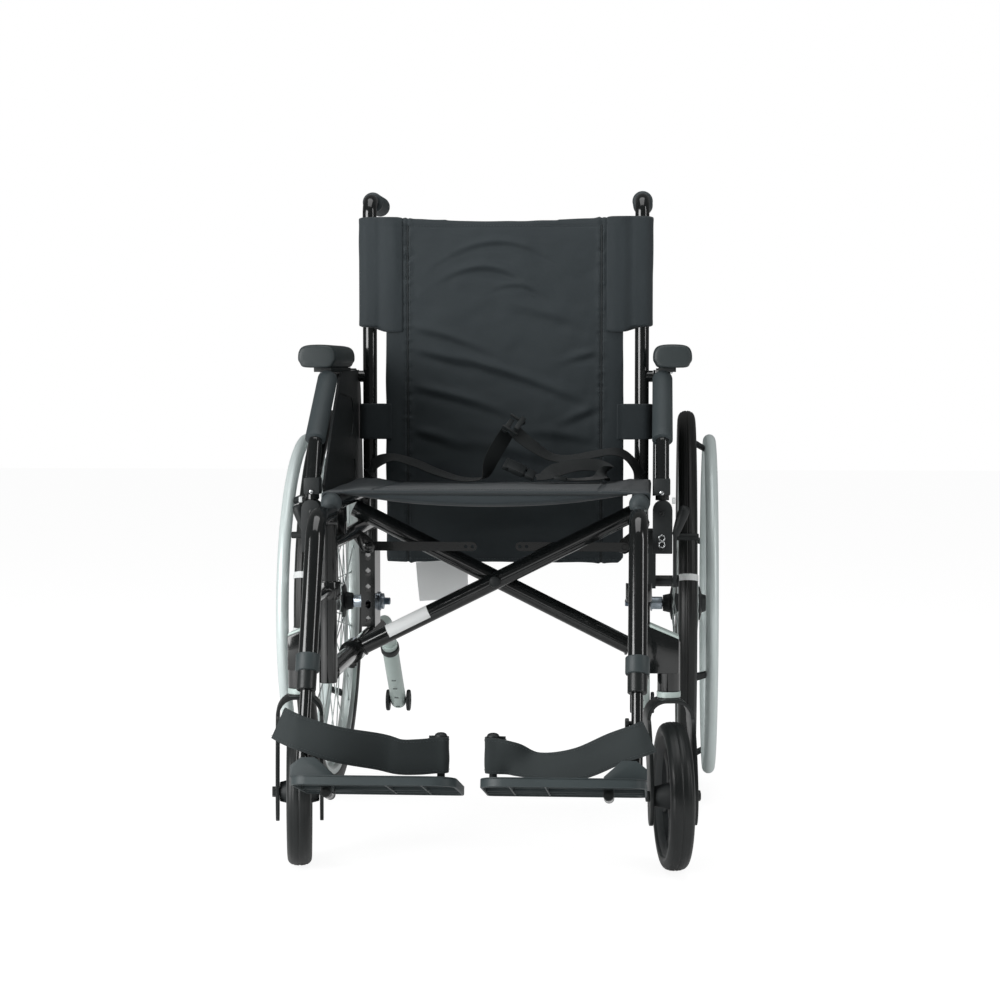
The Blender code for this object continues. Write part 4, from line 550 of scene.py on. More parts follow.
def wired(tree, kind, links=None, settings=None):
    node = tree.nodes.new(kind)
    for key, value in (settings or {}).items():
        setattr(node, key, value)
    for key, value in (links or {}).items():
        if hasattr(value, "is_output"):
            tree.links.new(value, node.inputs[key])
        else:
            node.inputs[key].default_value = value
    return node


def close_tree(tree, geometry, source, target):
    real = wired(tree, "GeometryNodeRealizeInstances", {0: geometry})
    dressed = wired(tree, "GeometryNodeSetMaterial", {0: real.outputs[0], "Material": source.outputs["Material"]})
    tree.links.new(dressed.outputs[0], target.inputs[0])


WIRES, source, target = new_tree("wires_along_edges", {
    "Radius": ("NodeSocketFloat", 0.001), "Sides": ("NodeSocketInt", 8), "Material": ("NodeSocketMaterial", None)})
curves = wired(WIRES, "GeometryNodeMeshToCurve", {0: source.outputs["Geometry"]})
round_profile = wired(WIRES, "GeometryNodeCurvePrimitiveCircle",
                      {"Resolution": source.outputs["Sides"], "Radius": source.outputs["Radius"]})
swept = wired(WIRES, "GeometryNodeCurveToMesh",
              {"Curve": curves.outputs[0], "Profile Curve": round_profile.outputs[0], "Fill Caps": True})
close_tree(WIRES, swept.outputs[0], source, target)

STITCHES, source, target = new_tree("stitches_along_seams", {
    "Pitch": ("NodeSocketFloat", 0.004), "Length": ("NodeSocketFloat", 0.0028),
    "Thickness": ("NodeSocketFloat", 0.0004), "Material": ("NodeSocketMaterial", None)})
curves = wired(STITCHES, "GeometryNodeMeshToCurve", {0: source.outputs["Geometry"]})
evened = wired(STITCHES, "GeometryNodeResampleCurve",
               {"Curve": curves.outputs[0], "Length": source.outputs["Pitch"]}, {"mode": "LENGTH"})
tangent = wired(STITCHES, "GeometryNodeInputTangent")
turned = wired(STITCHES, "FunctionNodeAlignRotationToVector", {"Vector": tangent.outputs[0]}, {"axis": "Z"})
thread = wired(STITCHES, "GeometryNodeMeshUVSphere", {"Segments": 6, "Rings": 4, "Radius": 0.5})
size = wired(STITCHES, "ShaderNodeCombineXYZ",
             {0: source.outputs["Thickness"], 1: source.outputs["Thickness"], 2: source.outputs["Length"]})
laid = wired(STITCHES, "GeometryNodeInstanceOnPoints",
             {"Points": evened.outputs[0], "Instance": thread.outputs[0], "Rotation": turned.outputs[0],
              "Scale": size.outputs[0]})
close_tree(STITCHES, laid.outputs[0], source, target)


def grown(name, tree, lines, values, look, body):
    """Run a tree on polylines and keep the plain mesh."""
    points, edges = [], []
    for line in lines:
        first = len(points)
        points += [tuple(point) for point in line]
        edges += [(first + i, first + i + 1) for i in range(len(line) - 1)]
    base = bpy.data.meshes.new("lines")
    base.from_pydata(points, edges, [])
    carrier = bpy.data.objects.new("lines", base)
    scene.collection.objects.link(carrier)
    modifier = carrier.modifiers.new("tree", "NODES")
    modifier.node_group = tree
    names = {item.name: item.identifier for item in tree.interface.items_tree if item.in_out == "INPUT"}
    for label, value in {**values, "Material": look}.items():
        modifier[names[label]] = value
    mesh = evaluated(carrier)
    bpy.data.objects.remove(carrier)
    obj = object_of(name, mesh, look, body, (), 60)
    print(name, len(lines), "lines,", len(mesh.polygons), "faces")
    return obj


# %% [markdown]
# Each side frame is welded from round tube: a front post, two rails and the back cane with its push
# handle, plus the caster housing. Real joints show a small weld bead, so each one gets a thin ring.

# %% Side frames
FRAME_X, RAIL_R, UPPER_R, CANE_R = 0.213, 0.0125, 0.011, 0.011
POST_F, CANE_F, FOLD_F = 0.520, 0.045, 0.252
LOWER_Z, UPPER_Z, SEAT_RAIL_Z, HANDLE_Z = 0.257, 0.435, 0.490, 0.9382


def bead(centre, axis, radius):
    """Weld bead: a thin uneven ring round a tube's end."""
    u, v = cross_axes(axis)
    rings = []
    for i in range(48):
        turn = 2 * math.pi * i / 48
        out = u * math.cos(turn) + v * math.sin(turn)
        thick = 0.0019 + 0.0003 * math.sin(turn * 17)
        middle = centre + out * radius
        rings.append([middle + (out * math.cos(a) + axis * math.sin(a)) * thick
                      for a in (2 * math.pi * k / 8 for k in range(8))])
    return shell(rings, closed=True)


def make_side_frame(name, side):
    x = side * FRAME_X
    handle = rounded([at(x, CANE_F, 0.4003), at(x, CANE_F, HANDLE_Z), at(x, -0.095, HANDLE_Z)], [0.022], 14)
    shells = [
        bar(at(x, POST_F, 0.245), at(x, POST_F, 0.463), RAIL_R),
        bar(at(x, POST_F, LOWER_Z), at(x, -0.060, LOWER_Z), RAIL_R),
        bar(at(x, POST_F, UPPER_Z), at(x, CANE_F, UPPER_Z), UPPER_R),
        pipe(handle, CANE_R, 36),
        bead(at(x, POST_F - RAIL_R, LOWER_Z), AXIS_FORE, RAIL_R),
        bead(at(x, POST_F - RAIL_R, UPPER_Z), AXIS_FORE, UPPER_R),
        bead(at(x, CANE_F + CANE_R, UPPER_Z), AXIS_FORE, UPPER_R),
        bar(at(side * 0.254, 0.511, 0.237), at(side * 0.254, 0.511, 0.305), 0.0155, 40),
        front_plate(0.4955, 0.5287, [(side * px, pz) for px, pz in (
            (0.2190, 0.262), (0.2682, 0.262), (0.2682, 0.3090), (0.2270, 0.3262), (0.2190, 0.3262))], 0.0030),
    ]
    for fore in (0.120, 0.400):
        arc = [(math.sin(a) * (RAIL_R + GAP), SEAT_RAIL_Z - math.cos(a) * (RAIL_R + GAP))
               for a in (math.radians(d) for d in range(-46, 47, 8))]
        saddle = [(-0.0095, UPPER_Z), (0.0095, UPPER_Z), *reversed(arc)]
        shells.append(front_plate(fore - 0.012, fore + 0.012, [(x + px, pz) for px, pz in saddle]))
    flange = 0.0173
    shells.append(lathe([(0.009, 0.004), (0.009, flange), (0.005, flange + 0.0001), (0.005, 0.0416),
                         (0.008, 0.0417), (0.008, 0.0437), (0.006, 0.0447)], at(x, CANE_F, 0.664), AXIS_X * side, 28))
    front = -side
    lug = [(FRAME_X, 0.426), (FRAME_X, 0.444), (0.200, 0.436), (0.183, 0.4225), (0.1795, 0.413),
           (0.183, 0.4045), (0.190, 0.402), (0.199, 0.4065)]
    shells.append(front_plate(FOLD_F + front * 0.005, FOLD_F + front * 0.009, [(side * px, pz) for px, pz in lug]))
    shells.append(lathe([(0.004, 0.0005), (0.004, 0.008), (0.007, 0.0081), (0.007, 0.011), (0.005, 0.012)],
                        at(side * 0.190, FOLD_F, 0.413), AXIS_FORE * front, 28))
    piece(f"{name}_frame_tubes", GLOSS_BLACK, f"frame_{name}", shells, [f"{name}_side_frame"])


both(make_side_frame)

# %% [markdown]
# The push grips are soft sleeves with finger ribs and a closed, rounded end. From the front only their
# ends show above the canes.

# %% Push grips
def make_push_grip(name, side):
    profile = [(0.006, 0.0), (0.0125, 0.0006), (0.0150, 0.0025), (0.0158, 0.006)]
    for i in range(8):
        start = 0.012 + i * 0.0108
        profile += [(0.0158, start), (0.0147, start + 0.002), (0.0147, start + 0.004), (0.0158, start + 0.006)]
    profile += [(0.0160, 0.101), (0.0160, 0.1045), (0.0138, 0.1072), (CANE_R + 0.0005, 0.1078)]
    grip = lathe(profile, at(side * FRAME_X, -0.100, HANDLE_Z), AXIS_FORE, 40)
    piece(f"{name}_grip", FOAM, f"frame_{name}", [grip], [f"{name}_push_grip"])


both(make_push_grip)

# %% [markdown]
# The rear axle is zinc plated: a thread, a nut and a washer inside the bracket, then the spacer that
# stands the wheel off the frame. The bracket itself keeps its solid, whose slots are already right.

# %% Axles and brackets
def make_axle(name, side):
    out = AXIS_X * side
    thread = [(0.0045, 0.1872)]
    for i in range(12):
        start = 0.1878 + i * 0.0008
        thread += [(0.0052, start), (0.0059, start + 0.0004)]
    profile = thread + [(0.0058, 0.2022), (0.0150, 0.2023), (0.0150, 0.2046), (0.006, 0.2047), (0.006, 0.2273),
                        (0.0088, 0.2274), (0.0100, 0.2288), (0.0100, 0.2455), (0.0092, 0.2466), (0.006, 0.2467),
                        (0.006, 0.3168), (0.0045, 0.318)]
    middle = at(0, 0, 0.305)
    shells = [lathe(profile, middle, out, 40), hexagon(middle + out * 0.1968, out, 0.0128, 0.0054),
              lathe([(0.0108, 0.2275), (0.0128, 0.2280), (0.0128, 0.2298), (0.0108, 0.2303)], middle, out, 40)]
    piece(f"{name}_axle_hardware", ZINC, f"frame_{name}", shells, [f"{name}_axle"])


both(make_axle)

# %% [markdown]
# The rear wheel has a solid tyre with shallow grooves, a box-section rim, 36 crossed spokes and the
# silver hand rim on four clips. The spokes come from the wire tree: nine leave each flange one way and
# nine the other, so they cross in pairs.

# %% Rear wheels
WHEEL_R, WHEEL_X, RIM_R, SPOKES, CLIPS = 0.305, 0.283, 0.276, 36, 4


def tyre_profile(outer, seat, half, grooves, depth):
    """Section of a tyre as (radius, across): rounded shoulders and small grooves in the tread."""
    side_high = outer - seat
    points = [(seat, -half * 0.78), (seat + side_high * 0.16, -half * 0.93), (seat + side_high * 0.42, -half)]
    crown = []
    steps = 28
    for i in range(steps + 1):
        share = i / steps * 2 - 1
        across = half * math.sin(share * math.pi / 2 * 0.97)
        high = outer - side_high * 0.58 * (1 - math.cos(share * math.pi / 2 * 0.97)) ** 1.25
        for groove in grooves:
            high -= depth * math.exp(-((across - groove) / 0.0007) ** 2)
        crown.append((high, across))
    points += crown[1:-1]
    points += [(seat + side_high * 0.42, half), (seat + side_high * 0.16, half * 0.93), (seat, half * 0.78)]
    return points


def make_rear_wheel(name, side):
    body = f"rear_wheel_{name}"
    centre = at(side * WHEEL_X, 0, WHEEL_R)
    out = AXIS_X * side
    section = tyre_profile(WHEEL_R, RIM_R + GAP, 0.014, (-0.0075, -0.0038, 0.0, 0.0038, 0.0075), 0.0011)
    piece(f"{name}_tyre", RUBBER, body, [hoop(section, centre, out, 128)], [f"{name}_rear_tyre"], 50)
    rim = [(0.2622, -0.0060), (0.2612, 0.0), (0.2622, 0.0060), (0.2660, 0.0086), (0.2700, 0.0106), (0.2752, 0.0110),
           (RIM_R, 0.0104), (RIM_R, -0.0104), (0.2752, -0.0110), (0.2700, -0.0106), (0.2660, -0.0086)]
    hub = [(0.0064, -0.036), (0.0125, -0.0358), (0.0130, -0.0345), (0.0150, -0.0250), (0.0262, -0.0228),
           (0.0266, -0.0215), (0.0262, -0.0190), (0.0165, -0.0165), (0.0150, -0.0130), (0.0150, 0.0120),
           (0.0165, 0.0160), (0.0262, 0.0182), (0.0266, 0.0205), (0.0262, 0.0225), (0.0150, 0.0255),
           (0.0130, 0.0308), (0.0122, 0.0320), (0.0064, 0.032)]
    piece(f"{name}_rim", RIM_METAL, body, [hoop(rim, centre, out, 128)], [f"{name}_rear_rim"])
    piece(f"{name}_wheel_hub", GRAINED, body, [hoop(hub, centre, out, 48)])
    lines, nipples = [], []
    for i in range(SPOKES):
        turn = 2 * math.pi * (i + 0.5) / SPOKES
        lean = math.radians(68) * (1 if i % 4 < 2 else -1)
        flange = -0.0209 if i % 2 else 0.0203
        start = in_wheel(turn + lean) * 0.0235
        radial = in_wheel(turn)
        first, last = centre + start + out * flange, centre + radial * 0.2630 + out * (flange * 0.12)
        lines.append([first, last])
        inward = (first - last).normalized()
        nipples.append(lathe([(0.0014, 0), (0.0019, 0.003), (0.0017, 0.012), (0.0012, 0.0135)], last, inward, 10))
    grown(f"{name}_spokes", WIRES, lines, {"Radius": 0.0010, "Sides": 8}, RIM_METAL, body)
    piece(f"{name}_spoke_nipples", RIM_METAL, body, nipples)
    middle = at(side * 0.3192, 0, WHEEL_R)
    ring = [(0.258 + 0.0095 * math.cos(2 * math.pi * k / 24), 0.0095 * math.sin(2 * math.pi * k / 24))
            for k in range(24)]
    piece(f"{name}_hand_rim", SILVER, body, [hoop(ring, middle, out, 144)], [f"{name}_handrim"], 60)
    clips = []
    for i in range(CLIPS):
        turn = math.radians((108 if side > 0 else 139) + i * 360 / CLIPS)
        radial = in_wheel(turn)
        around = out.cross(radial)
        foot = centre + out * 0.0112 + radial * 0.2700
        top = middle + radial * 0.2600 - out * 0.0085
        section = [radial * a + around * b for a, b in ((-0.0045, -0.005), (0.0045, -0.005), (0.0045, 0.005),
                                                       (-0.0045, 0.005))]
        clips.append(shell([[foot + p for p in section], [top + p * 0.9 for p in section]], chamfer=0.001))
    piece(f"{name}_rim_clips", GRAINED, body, clips)


both(make_rear_wheel)


# %% [markdown]
# A pale band wraps round the front of each rear tyre and rim: a painted reflection of the light on the tyre's gloss.
# It is a narrow band that follows the tyre's section, so it is the same profile made a little larger.

# %% Painted tyre reflections
def make_tyre_painted_reflection(name, side, turn, mark=""):
    body = f"rear_wheel_{name}"
    centre = at(side * WHEEL_X, 0, WHEEL_R)
    outline = mirrored([(0.2600, -0.0125), (0.2760, -0.0150), (0.2900, -0.0152), (0.3000, -0.0118),
                        (0.3058, -0.0050)], [(0.3063, 0.0)]) + [(0.2592, 0.0)]
    inner = mirrored([(0.2608, -0.0115), (0.2760, -0.0141), (0.2898, -0.0143), (0.2992, -0.0110),
                      (0.3049, -0.0046)], [(0.3054, 0.0)]) + [(0.2601, 0.0)]
    rings = []
    for (r0, a0), (r1, a1) in zip(outline, inner):
        ring = []
        for radius, across, spread in ((r0, a0, -1), (r0, a0, 1), (r1, a1, 1), (r1, a1, -1)):
            angle = turn + spread * 0.0045 / 0.29
            radial = in_wheel(angle)
            ring.append(centre + radial * radius + AXIS_X * side * across)
        rings.append(ring)
    # Painted reflection: a pale band where the tyre's front mirrors the light.
    piece(f"{name}_tyre_tie{mark}", PALE, body, [shell(rings, closed=True)])


# Painted reflections: one band on the left tyre, two on the right.
make_tyre_painted_reflection("left", 1, math.radians(180 - 13.0))
make_tyre_painted_reflection("right", -1, math.radians(180 - 13.0))
make_tyre_painted_reflection("right", -1, math.radians(180 + 2.8), "_low")

# %% [markdown]
# The casters are eight-inch solid wheels in black forks. Both stand turned by eight degrees, as they do
# in the photograph. The fork's legs are flat plates that lean back to the wheel bolt.

# %% Casters
CASTER_X, CASTER_F, CASTER_TURN = 0.254, 0.511, math.radians(8)
CASTER_OUT = Vector((math.cos(CASTER_TURN), math.sin(CASTER_TURN), 0))
CASTER_FRONT = Vector((math.sin(CASTER_TURN), -math.cos(CASTER_TURN), 0))


def in_fork(side, across, ahead, z):
    return at(side * CASTER_X, CASTER_F, z) + CASTER_OUT * across + CASTER_FRONT * ahead


def smooth_outline(points, rounds=2):
    """Corner cutting: each pass replaces a corner by two points."""
    for _ in range(rounds):
        cut = []
        for i, (a0, b0) in enumerate(points):
            a1, b1 = points[(i + 1) % len(points)]
            cut += [(a0 * 0.75 + a1 * 0.25, b0 * 0.75 + b1 * 0.25), (a0 * 0.25 + a1 * 0.75, b0 * 0.25 + b1 * 0.75)]
        points = cut
    return points


def make_caster(name, side):
    fork = f"caster_fork_{name}"
    wheel = f"caster_wheel_{name}"
    post = at(side * CASTER_X, CASTER_F, 0)
    shells = [lathe([(0.0155, 0.2255), (0.0155, 0.2366), (0.0085, 0.2367), (0.0085, 0.301)], post, AXIS_Z, 40)]
    leg = [(-0.022, 0.204), (0.022, 0.204), (0.032, 0.195), (0.048, 0.160), (0.062, 0.108), (0.061, 0.080),
           (0.053, 0.060), (0.037, 0.060), (0.029, 0.080), (0.024, 0.120), (0.004, 0.165), (-0.022, 0.192)]
    leg = smooth_outline(leg)
    for sign in (-1, 1):
        outline = [in_fork(side, sign * 0.0325, ahead, z) for ahead, z in leg]
        shells.append(plate(outline, CASTER_OUT * -sign * 0.005, 0.0008))
    corners = ((-0.030, 0.190), (-0.030, 0.225), (0.030, 0.225), (0.030, 0.190))
    arch = rounded([in_fork(side, across, 0.001, z) for across, z in corners], [0.024, 0.024], 10)
    rings = []
    for i, spot in enumerate(arch):
        run = (arch[min(i + 1, len(arch) - 1)] - arch[max(i - 1, 0)]).normalized()
        over = run.cross(CASTER_FRONT)
        rings.append([spot + over * a + CASTER_FRONT * b for a, b in (
            (-0.0025, -0.022), (-0.0025, 0.023), (0.0025, 0.023), (0.0025, -0.022))])
    shells.append(shell(rings, chamfer=0.0006))
    axle = in_fork(side, 0, 0.045, 0.100)
    shells.append(bar(axle - CASTER_OUT * 0.033, axle + CASTER_OUT * 0.033, 0.005, 24))
    piece(f"{name}_fork", SATIN_BLACK, fork, shells, [f"{name}_caster_fork"])
    bolts = [hexagon(axle + CASTER_OUT * 0.0325, CASTER_OUT, 0.0075, 0.0048),
             hexagon(axle - CASTER_OUT * 0.0325, -CASTER_OUT, 0.0075, 0.0048)]
    piece(f"{name}_caster_bolts", SATIN_BLACK, fork, bolts)
    ring = lathe([(0.0157, 0.2285), (0.0163, 0.2292), (0.0163, 0.2360), (0.0157, 0.2366)], post, AXIS_Z, 40)
    piece(f"{name}_stem_ring", LEG_GREY, fork, [ring])
    section = tyre_profile(0.100, 0.0813, 0.0165, (-0.0090, -0.0045, 0.0, 0.0045, 0.0090), 0.0010)
    piece(f"{name}_small_tyre", CASTER_RUBBER, wheel, [hoop(section, axle, CASTER_OUT, 96)],
          [f"{name}_caster_tyre"], 50)
    hub = mirrored([(0.0053, -0.0268), (0.0125, -0.0268), (0.0135, -0.0255), (0.0180, -0.0075), (0.0190, -0.0055)])
    rim = mirrored([(0.0660, -0.0060), (0.0700, -0.0090), (0.0790, -0.0130), (0.0811, -0.0132)])
    shells = [hoop(hub, axle, CASTER_OUT, 48), hoop(rim, axle, CASTER_OUT, 96)]
    for i in range(5):
        turn = 2 * math.pi * (i + 0.5) / 5
        radial = AXIS_Z * math.cos(turn) + CASTER_OUT.cross(AXIS_Z) * math.sin(turn)
        around = CASTER_OUT.cross(radial)
        rings = []
        for k in range(7):
            share = k / 6
            radius = 0.016 + 0.052 * share
            half = 0.0105 + 0.006 * abs(2 * share - 1) ** 2
            thick = 0.0058 - 0.0012 * math.sin(math.pi * share)
            middle = axle + radial * radius
            rings.append([middle + around * b + CASTER_OUT * c for b, c in (
                (-half, -thick * 0.6), (-half * 0.8, -thick), (0, -thick * 1.05), (half * 0.8, -thick),
                (half, -thick * 0.6), (half, thick * 0.6), (half * 0.8, thick), (0, thick * 1.05),
                (-half * 0.8, thick), (-half, thick * 0.6))])
        shells.append(shell(rings))
    piece(f"{name}_small_hub", GRAINED, wheel, shells, [f"{name}_caster_hub"])
    roof = [(side * 0.2280, 0.3256), (side * 0.2676, 0.3092), (side * 0.2676, 0.3128), (side * 0.2280, 0.3296)]
    piece(f"{name}_housing_cap", LEG_GREY, f"frame_{name}", [front_plate(0.4965, 0.5278, roof, 0.0012)],
          [f"{name}_caster_cap"])


both(make_caster)

# %% [markdown]
# The hanger is a tube that drops into the front post, bends over and leans down to the footrest. Its
# collar clamps the inner tube. The lean and the bend decide how the whole front of the chair reads.

# %% Hangers
LEAN = math.radians(23.2)
HANGER_Z, HANGER_TOP_F = 0.478, 0.6273
DOWN = Vector((0, -math.sin(LEAN), -math.cos(LEAN)))


def on_hanger(side, z):
    return at(side * FRAME_X, HANGER_TOP_F + (HANGER_Z - z) * math.tan(LEAN), z)


def make_hanger(name, side):
    x = side * FRAME_X
    body = f"hanger_{name}"
    path = rounded([at(x, 0.5075, HANGER_Z), at(x, HANGER_TOP_F, HANGER_Z), on_hanger(side, 0.287)], [0.048], 18)
    post = at(x, POST_F, 0)
    pin = lathe([(0.008, 0.4205), (0.0085, 0.421), (0.0085, 0.4632), (0.0135, 0.4633), (0.0140, 0.4640),
                 (0.0140, 0.4665), (0.0125, 0.4675), (0.0125, HANGER_Z)], post, AXIS_Z, 40)
    heel = at(x, 0.5075, HANGER_Z)
    plug = lathe([(0.0125, -0.0002), (0.0118, 0.0016), (0.0085, 0.0030), (0.003, 0.0036)], heel, -AXIS_FORE, 32)
    saddle = []
    for i in range(19):
        turn = math.radians(-90 + 180 * i / 18)
        out = AXIS_FORE * math.cos(turn) + AXIS_X * math.sin(turn)
        saddle.append([post + out * r + AXIS_Z * z for r, z in ((0.0129, 0.3605), (0.0175, 0.3600), (0.0179, 0.3610),
                                                                (0.0179, 0.3840), (0.0175, 0.3850), (0.0129, 0.3845))])
    arm = bar(at(x, POST_F + 0.0165, 0.3725), on_hanger(side, 0.3725) - AXIS_FORE * 0.004, 0.008, 28)
    shells = [pipe(path, RAIL_R, 40), pin, plug, shell(saddle, chamfer=0.0006), arm]
    piece(f"{name}_hanger", GLOSS_BLACK, body, shells, [f"{name}_hanger_tube"])
    top = on_hanger(side, 0.306)
    profile = [(0.0128, 0.0), (0.0150, 0.0002), (0.0158, 0.0012), (0.0158, 0.0215), (0.0150, 0.0228), (0.0128, 0.0235)]
    piece(f"{name}_clamp_collar", FOOT_PLASTIC, body, [hoop(profile, top, DOWN, 40)], [f"{name}_hanger_collar"])
    profile = [(0.0079, 0.0212), (0.0128, 0.0212), (0.0127, 0.0470), (0.0118, 0.0478), (0.0079, 0.0478)]
    piece(f"{name}_collar_skirt", SATIN_BLACK, body, [hoop(profile, top, DOWN, 40)])


both(make_hanger)

# %% [markdown]
# Below the collar the inner tube ends in a knuckle that carries the footplate on a hinge. The plate is
# a moulded tray: a thin deck with a rim and ribs underneath, its toes up by fifteen degrees.

# %% Footrest tubes and knuckles
TILT = math.radians(15)
TOE = Vector((0, -math.cos(TILT), math.sin(TILT)))
SOLE_UP = Vector((0, math.sin(TILT), math.cos(TILT)))
SOLE_F, SOLE_Z = 0.680, 0.120
HINGE_X, HINGE_ALONG, HINGE_LIFT = 0.178, 0.092, -0.006


def on_sole(x, along, lift):
    return at(x, SOLE_F, SOLE_Z) + TOE * along + SOLE_UP * lift


def make_footrest(name, side):
    landing = on_sole(0, HINGE_ALONG, 0.0256).z - 0.004
    tube = bar(on_hanger(side, 0.375), on_hanger(side, landing), 0.0075, 32)
    inner = HINGE_X - 0.0065
    outline = [on_sole(side * inner, 0.080, lift) + AXIS_X * side * out for out, lift in (
        (0, -0.006), (0, 0.0180), (0.023, 0.0385), (0.041, 0.0385), (0.0545, 0.0280), (0.0545, 0.0126),
        (0.013, 0.0126), (0.013, -0.006))]
    knuckle = plate(outline, TOE * 0.024, 0.0012)
    axis = on_sole(side * HINGE_X, HINGE_ALONG, HINGE_LIFT)
    barrel = bar(axis - TOE * 0.0116, axis + TOE * 0.0116, 0.0067, 28)
    piece(f"{name}_footrest_stem", GLOSS_BLACK, f"footrest_{name}", [tube, barrel], [f"{name}_footrest_tube"])
    piece(f"{name}_plate_knuckle", FOOT_PLASTIC, f"footrest_{name}", [knuckle])
    bolts = [hexagon(on_sole(side * px, 0.086, 0.0384), SOLE_UP, 0.0048, 0.005) for px in (0.1985, 0.2095)]
    if side > 0:
        profile = [(0.003, 0), (0.003, 0.003), (0.0062, 0.0035), (0.0066, 0.005), (0.0066, 0.0078), (0.005, 0.0085)]
        bolts.append(lathe(profile, on_hanger(side, 0.226) - AXIS_X * 0.0070, -AXIS_X, 24))
    piece(f"{name}_knuckle_bolts", SATIN_BLACK, f"footrest_{name}", bolts)


both(make_footrest)

# %% [markdown]
# The tray hinges on a barrel under the knuckle. It has a thin deck with a closed rim, five ribs below and
# nine raised treads on top. The post of the heel strap stands at its inner rear corner.

# %% Footplates
PLATE_INNER = {-1: 0.0115, 1: 0.018}
PLATE_OUTER = {-1: 0.2195, 1: 0.226}
POST_X = {-1: 0.042, 1: 0.026}


def flat_round(corners, radii, steps=6):
    outline = []
    for i, (corner, radius) in enumerate(zip(corners, radii)):
        before = Vector((*corners[i - 1], 0))
        after = Vector((*corners[(i + 1) % len(corners)], 0))
        outline += [(p.x, p.y) for p in rounded([before, Vector((*corner, 0)), after], [radius], steps)[1:-1]]
    return outline


def make_footplate(name, side):
    inner, outer = PLATE_INNER[side], PLATE_OUTER[side]
    corners = [(inner, 0.0), (inner, 0.155), (outer, 0.155), (outer, 0.0)]
    outline = flat_round(corners, [0.008, 0.030, 0.022, 0.012])
    slab = plate([on_sole(side * a, b, 0.0085) for a, b in outline], SOLE_UP * 0.0035, 0.0012)
    middle = Vector((sum(a for a, _ in outline) / len(outline), 0.0775))
    shells = [slab]
    rings = []
    for a, b in outline:
        away = Vector((a, b)) - middle
        pull = away.normalized() * 0.0030
        ring = []
        for (u, v), lift in (((a, b), 0.0112), ((a, b), 0.0008), ((a - pull.x * 0.3, b - pull.y * 0.3), 0.0),
                             ((a - pull.x, b - pull.y), 0.0), ((a - pull.x * 1.3, b - pull.y * 1.3), 0.0112)):
            ring.append(on_sole(side * u, v, lift))
        rings.append(ring)
    shells.append(shell(rings, closed=True))
    for v in (0.030, 0.060, 0.124):
        start, end = inner + 0.003, outer - 0.004
        rib = [on_sole(side * a, v + b, 0.001) for a, b in (
            (start, -0.001), (end, -0.001), (end, 0.001), (start, 0.001))]
        shells.append(plate(rib, SOLE_UP * 0.009, 0.0003))
    for a in (0.055, 0.100):
        rib = [on_sole(side * (a + p), q, 0.001) for p, q in ((-0.001, 0.003), (0.001, 0.003), (0.001, 0.152),
                                                              (-0.001, 0.152))]
        shells.append(plate(rib, SOLE_UP * 0.009, 0.0003))
    axis = on_sole(side * HINGE_X, HINGE_ALONG, HINGE_LIFT)
    ears = []
    for sign in (-1, 1):
        start = axis + TOE * sign * 0.0126
        ears.append(bar(start, start + TOE * sign * 0.0106, 0.0067, 28))
        foot = [on_sole(side * px, HINGE_ALONG + sign * 0.0126, lift) for px, lift in (
            (0.1715, -0.006), (0.1715, 0.002), (0.1845, 0.002), (0.1845, -0.006))]
        ears.append(plate(foot, TOE * sign * 0.0106, 0.0006))
    piece(f"{name}_hinge_ears", SATIN_BLACK, f"footplate_{name}", ears)
    piece(f"{name}_footplate_tray", FOOT_PLASTIC, f"footplate_{name}", shells, [f"{name}_footplate"], 34)
    # Raised treads on the deck
    treads = []
    for k in range(9):
        v = 0.022 + k * 0.0145
        reach = 0.138 if abs(v - HINGE_ALONG) < 0.016 else 0.212
        treads.append(bar(on_sole(side * (inner + 0.016), v, 0.0116), on_sole(side * reach, v, 0.0116), 0.0011, 8))
    piece(f"{name}_deck_treads", FOOT_PLASTIC, f"footplate_{name}", treads)
    foot = on_sole(side * POST_X[side], 0.007, 0.008)
    height = 0.204 - foot.z
    post = lathe([(0.0070, 0), (0.0070, 0.007), (0.0052, 0.0090), (0.0050, height - 0.0085), (0.0062, height - 0.0068),
                  (0.0080, height - 0.0060), (0.0082, height - 0.0042), (0.0070, height - 0.0020),
                  (0.0045, height - 0.0006), (0.0010, height)], foot, AXIS_Z, 32)
    piece(f"{name}_heel_post", GRAINED, f"footplate_{name}", [post])


both(make_footplate)

# %% [markdown]
# A strap is a ribbon: a few places that it passes, a smooth curve through them, and at each step a
# narrow section that leans with the strap. Its UV map runs along and across it in metres, which keeps
# the weave straight on a curved strap.

# %% Ribbons
def through(points, steps=10):
    """Smooth curve through rows of numbers (Catmull-Rom)."""
    rows = [np.array(p, float) for p in points]
    rows = [2 * rows[0] - rows[1], *rows, 2 * rows[-1] - rows[-2]]
    out = []
    for p0, p1, p2, p3 in zip(rows, rows[1:], rows[2:], rows[3:]):
        for k in range(steps):
            t = k / steps
            out.append(0.5 * (2 * p1 + (p2 - p0) * t + (2 * p0 - 5 * p1 + 4 * p2 - p3) * t * t
                              + (3 * p1 - p0 - 3 * p2 + p3) * t ** 3))
    out.append(rows[-2])
    return out


def strap_frames(rows):
    """Middle, direction across the width and direction off the face at each row of a strap."""
    spots = [at(*row[:3]) for row in rows]
    frames = []
    for i, (spot, row) in enumerate(zip(spots, rows)):
        along = (spots[min(i + 1, len(rows) - 1)] - spots[max(i - 1, 0)]).normalized()
        up = Vector((row[4], -row[5], row[6]))
        up = (up - along * up.dot(along)).normalized()
        frames.append((spot, up, along.cross(up).normalized()))
    return frames


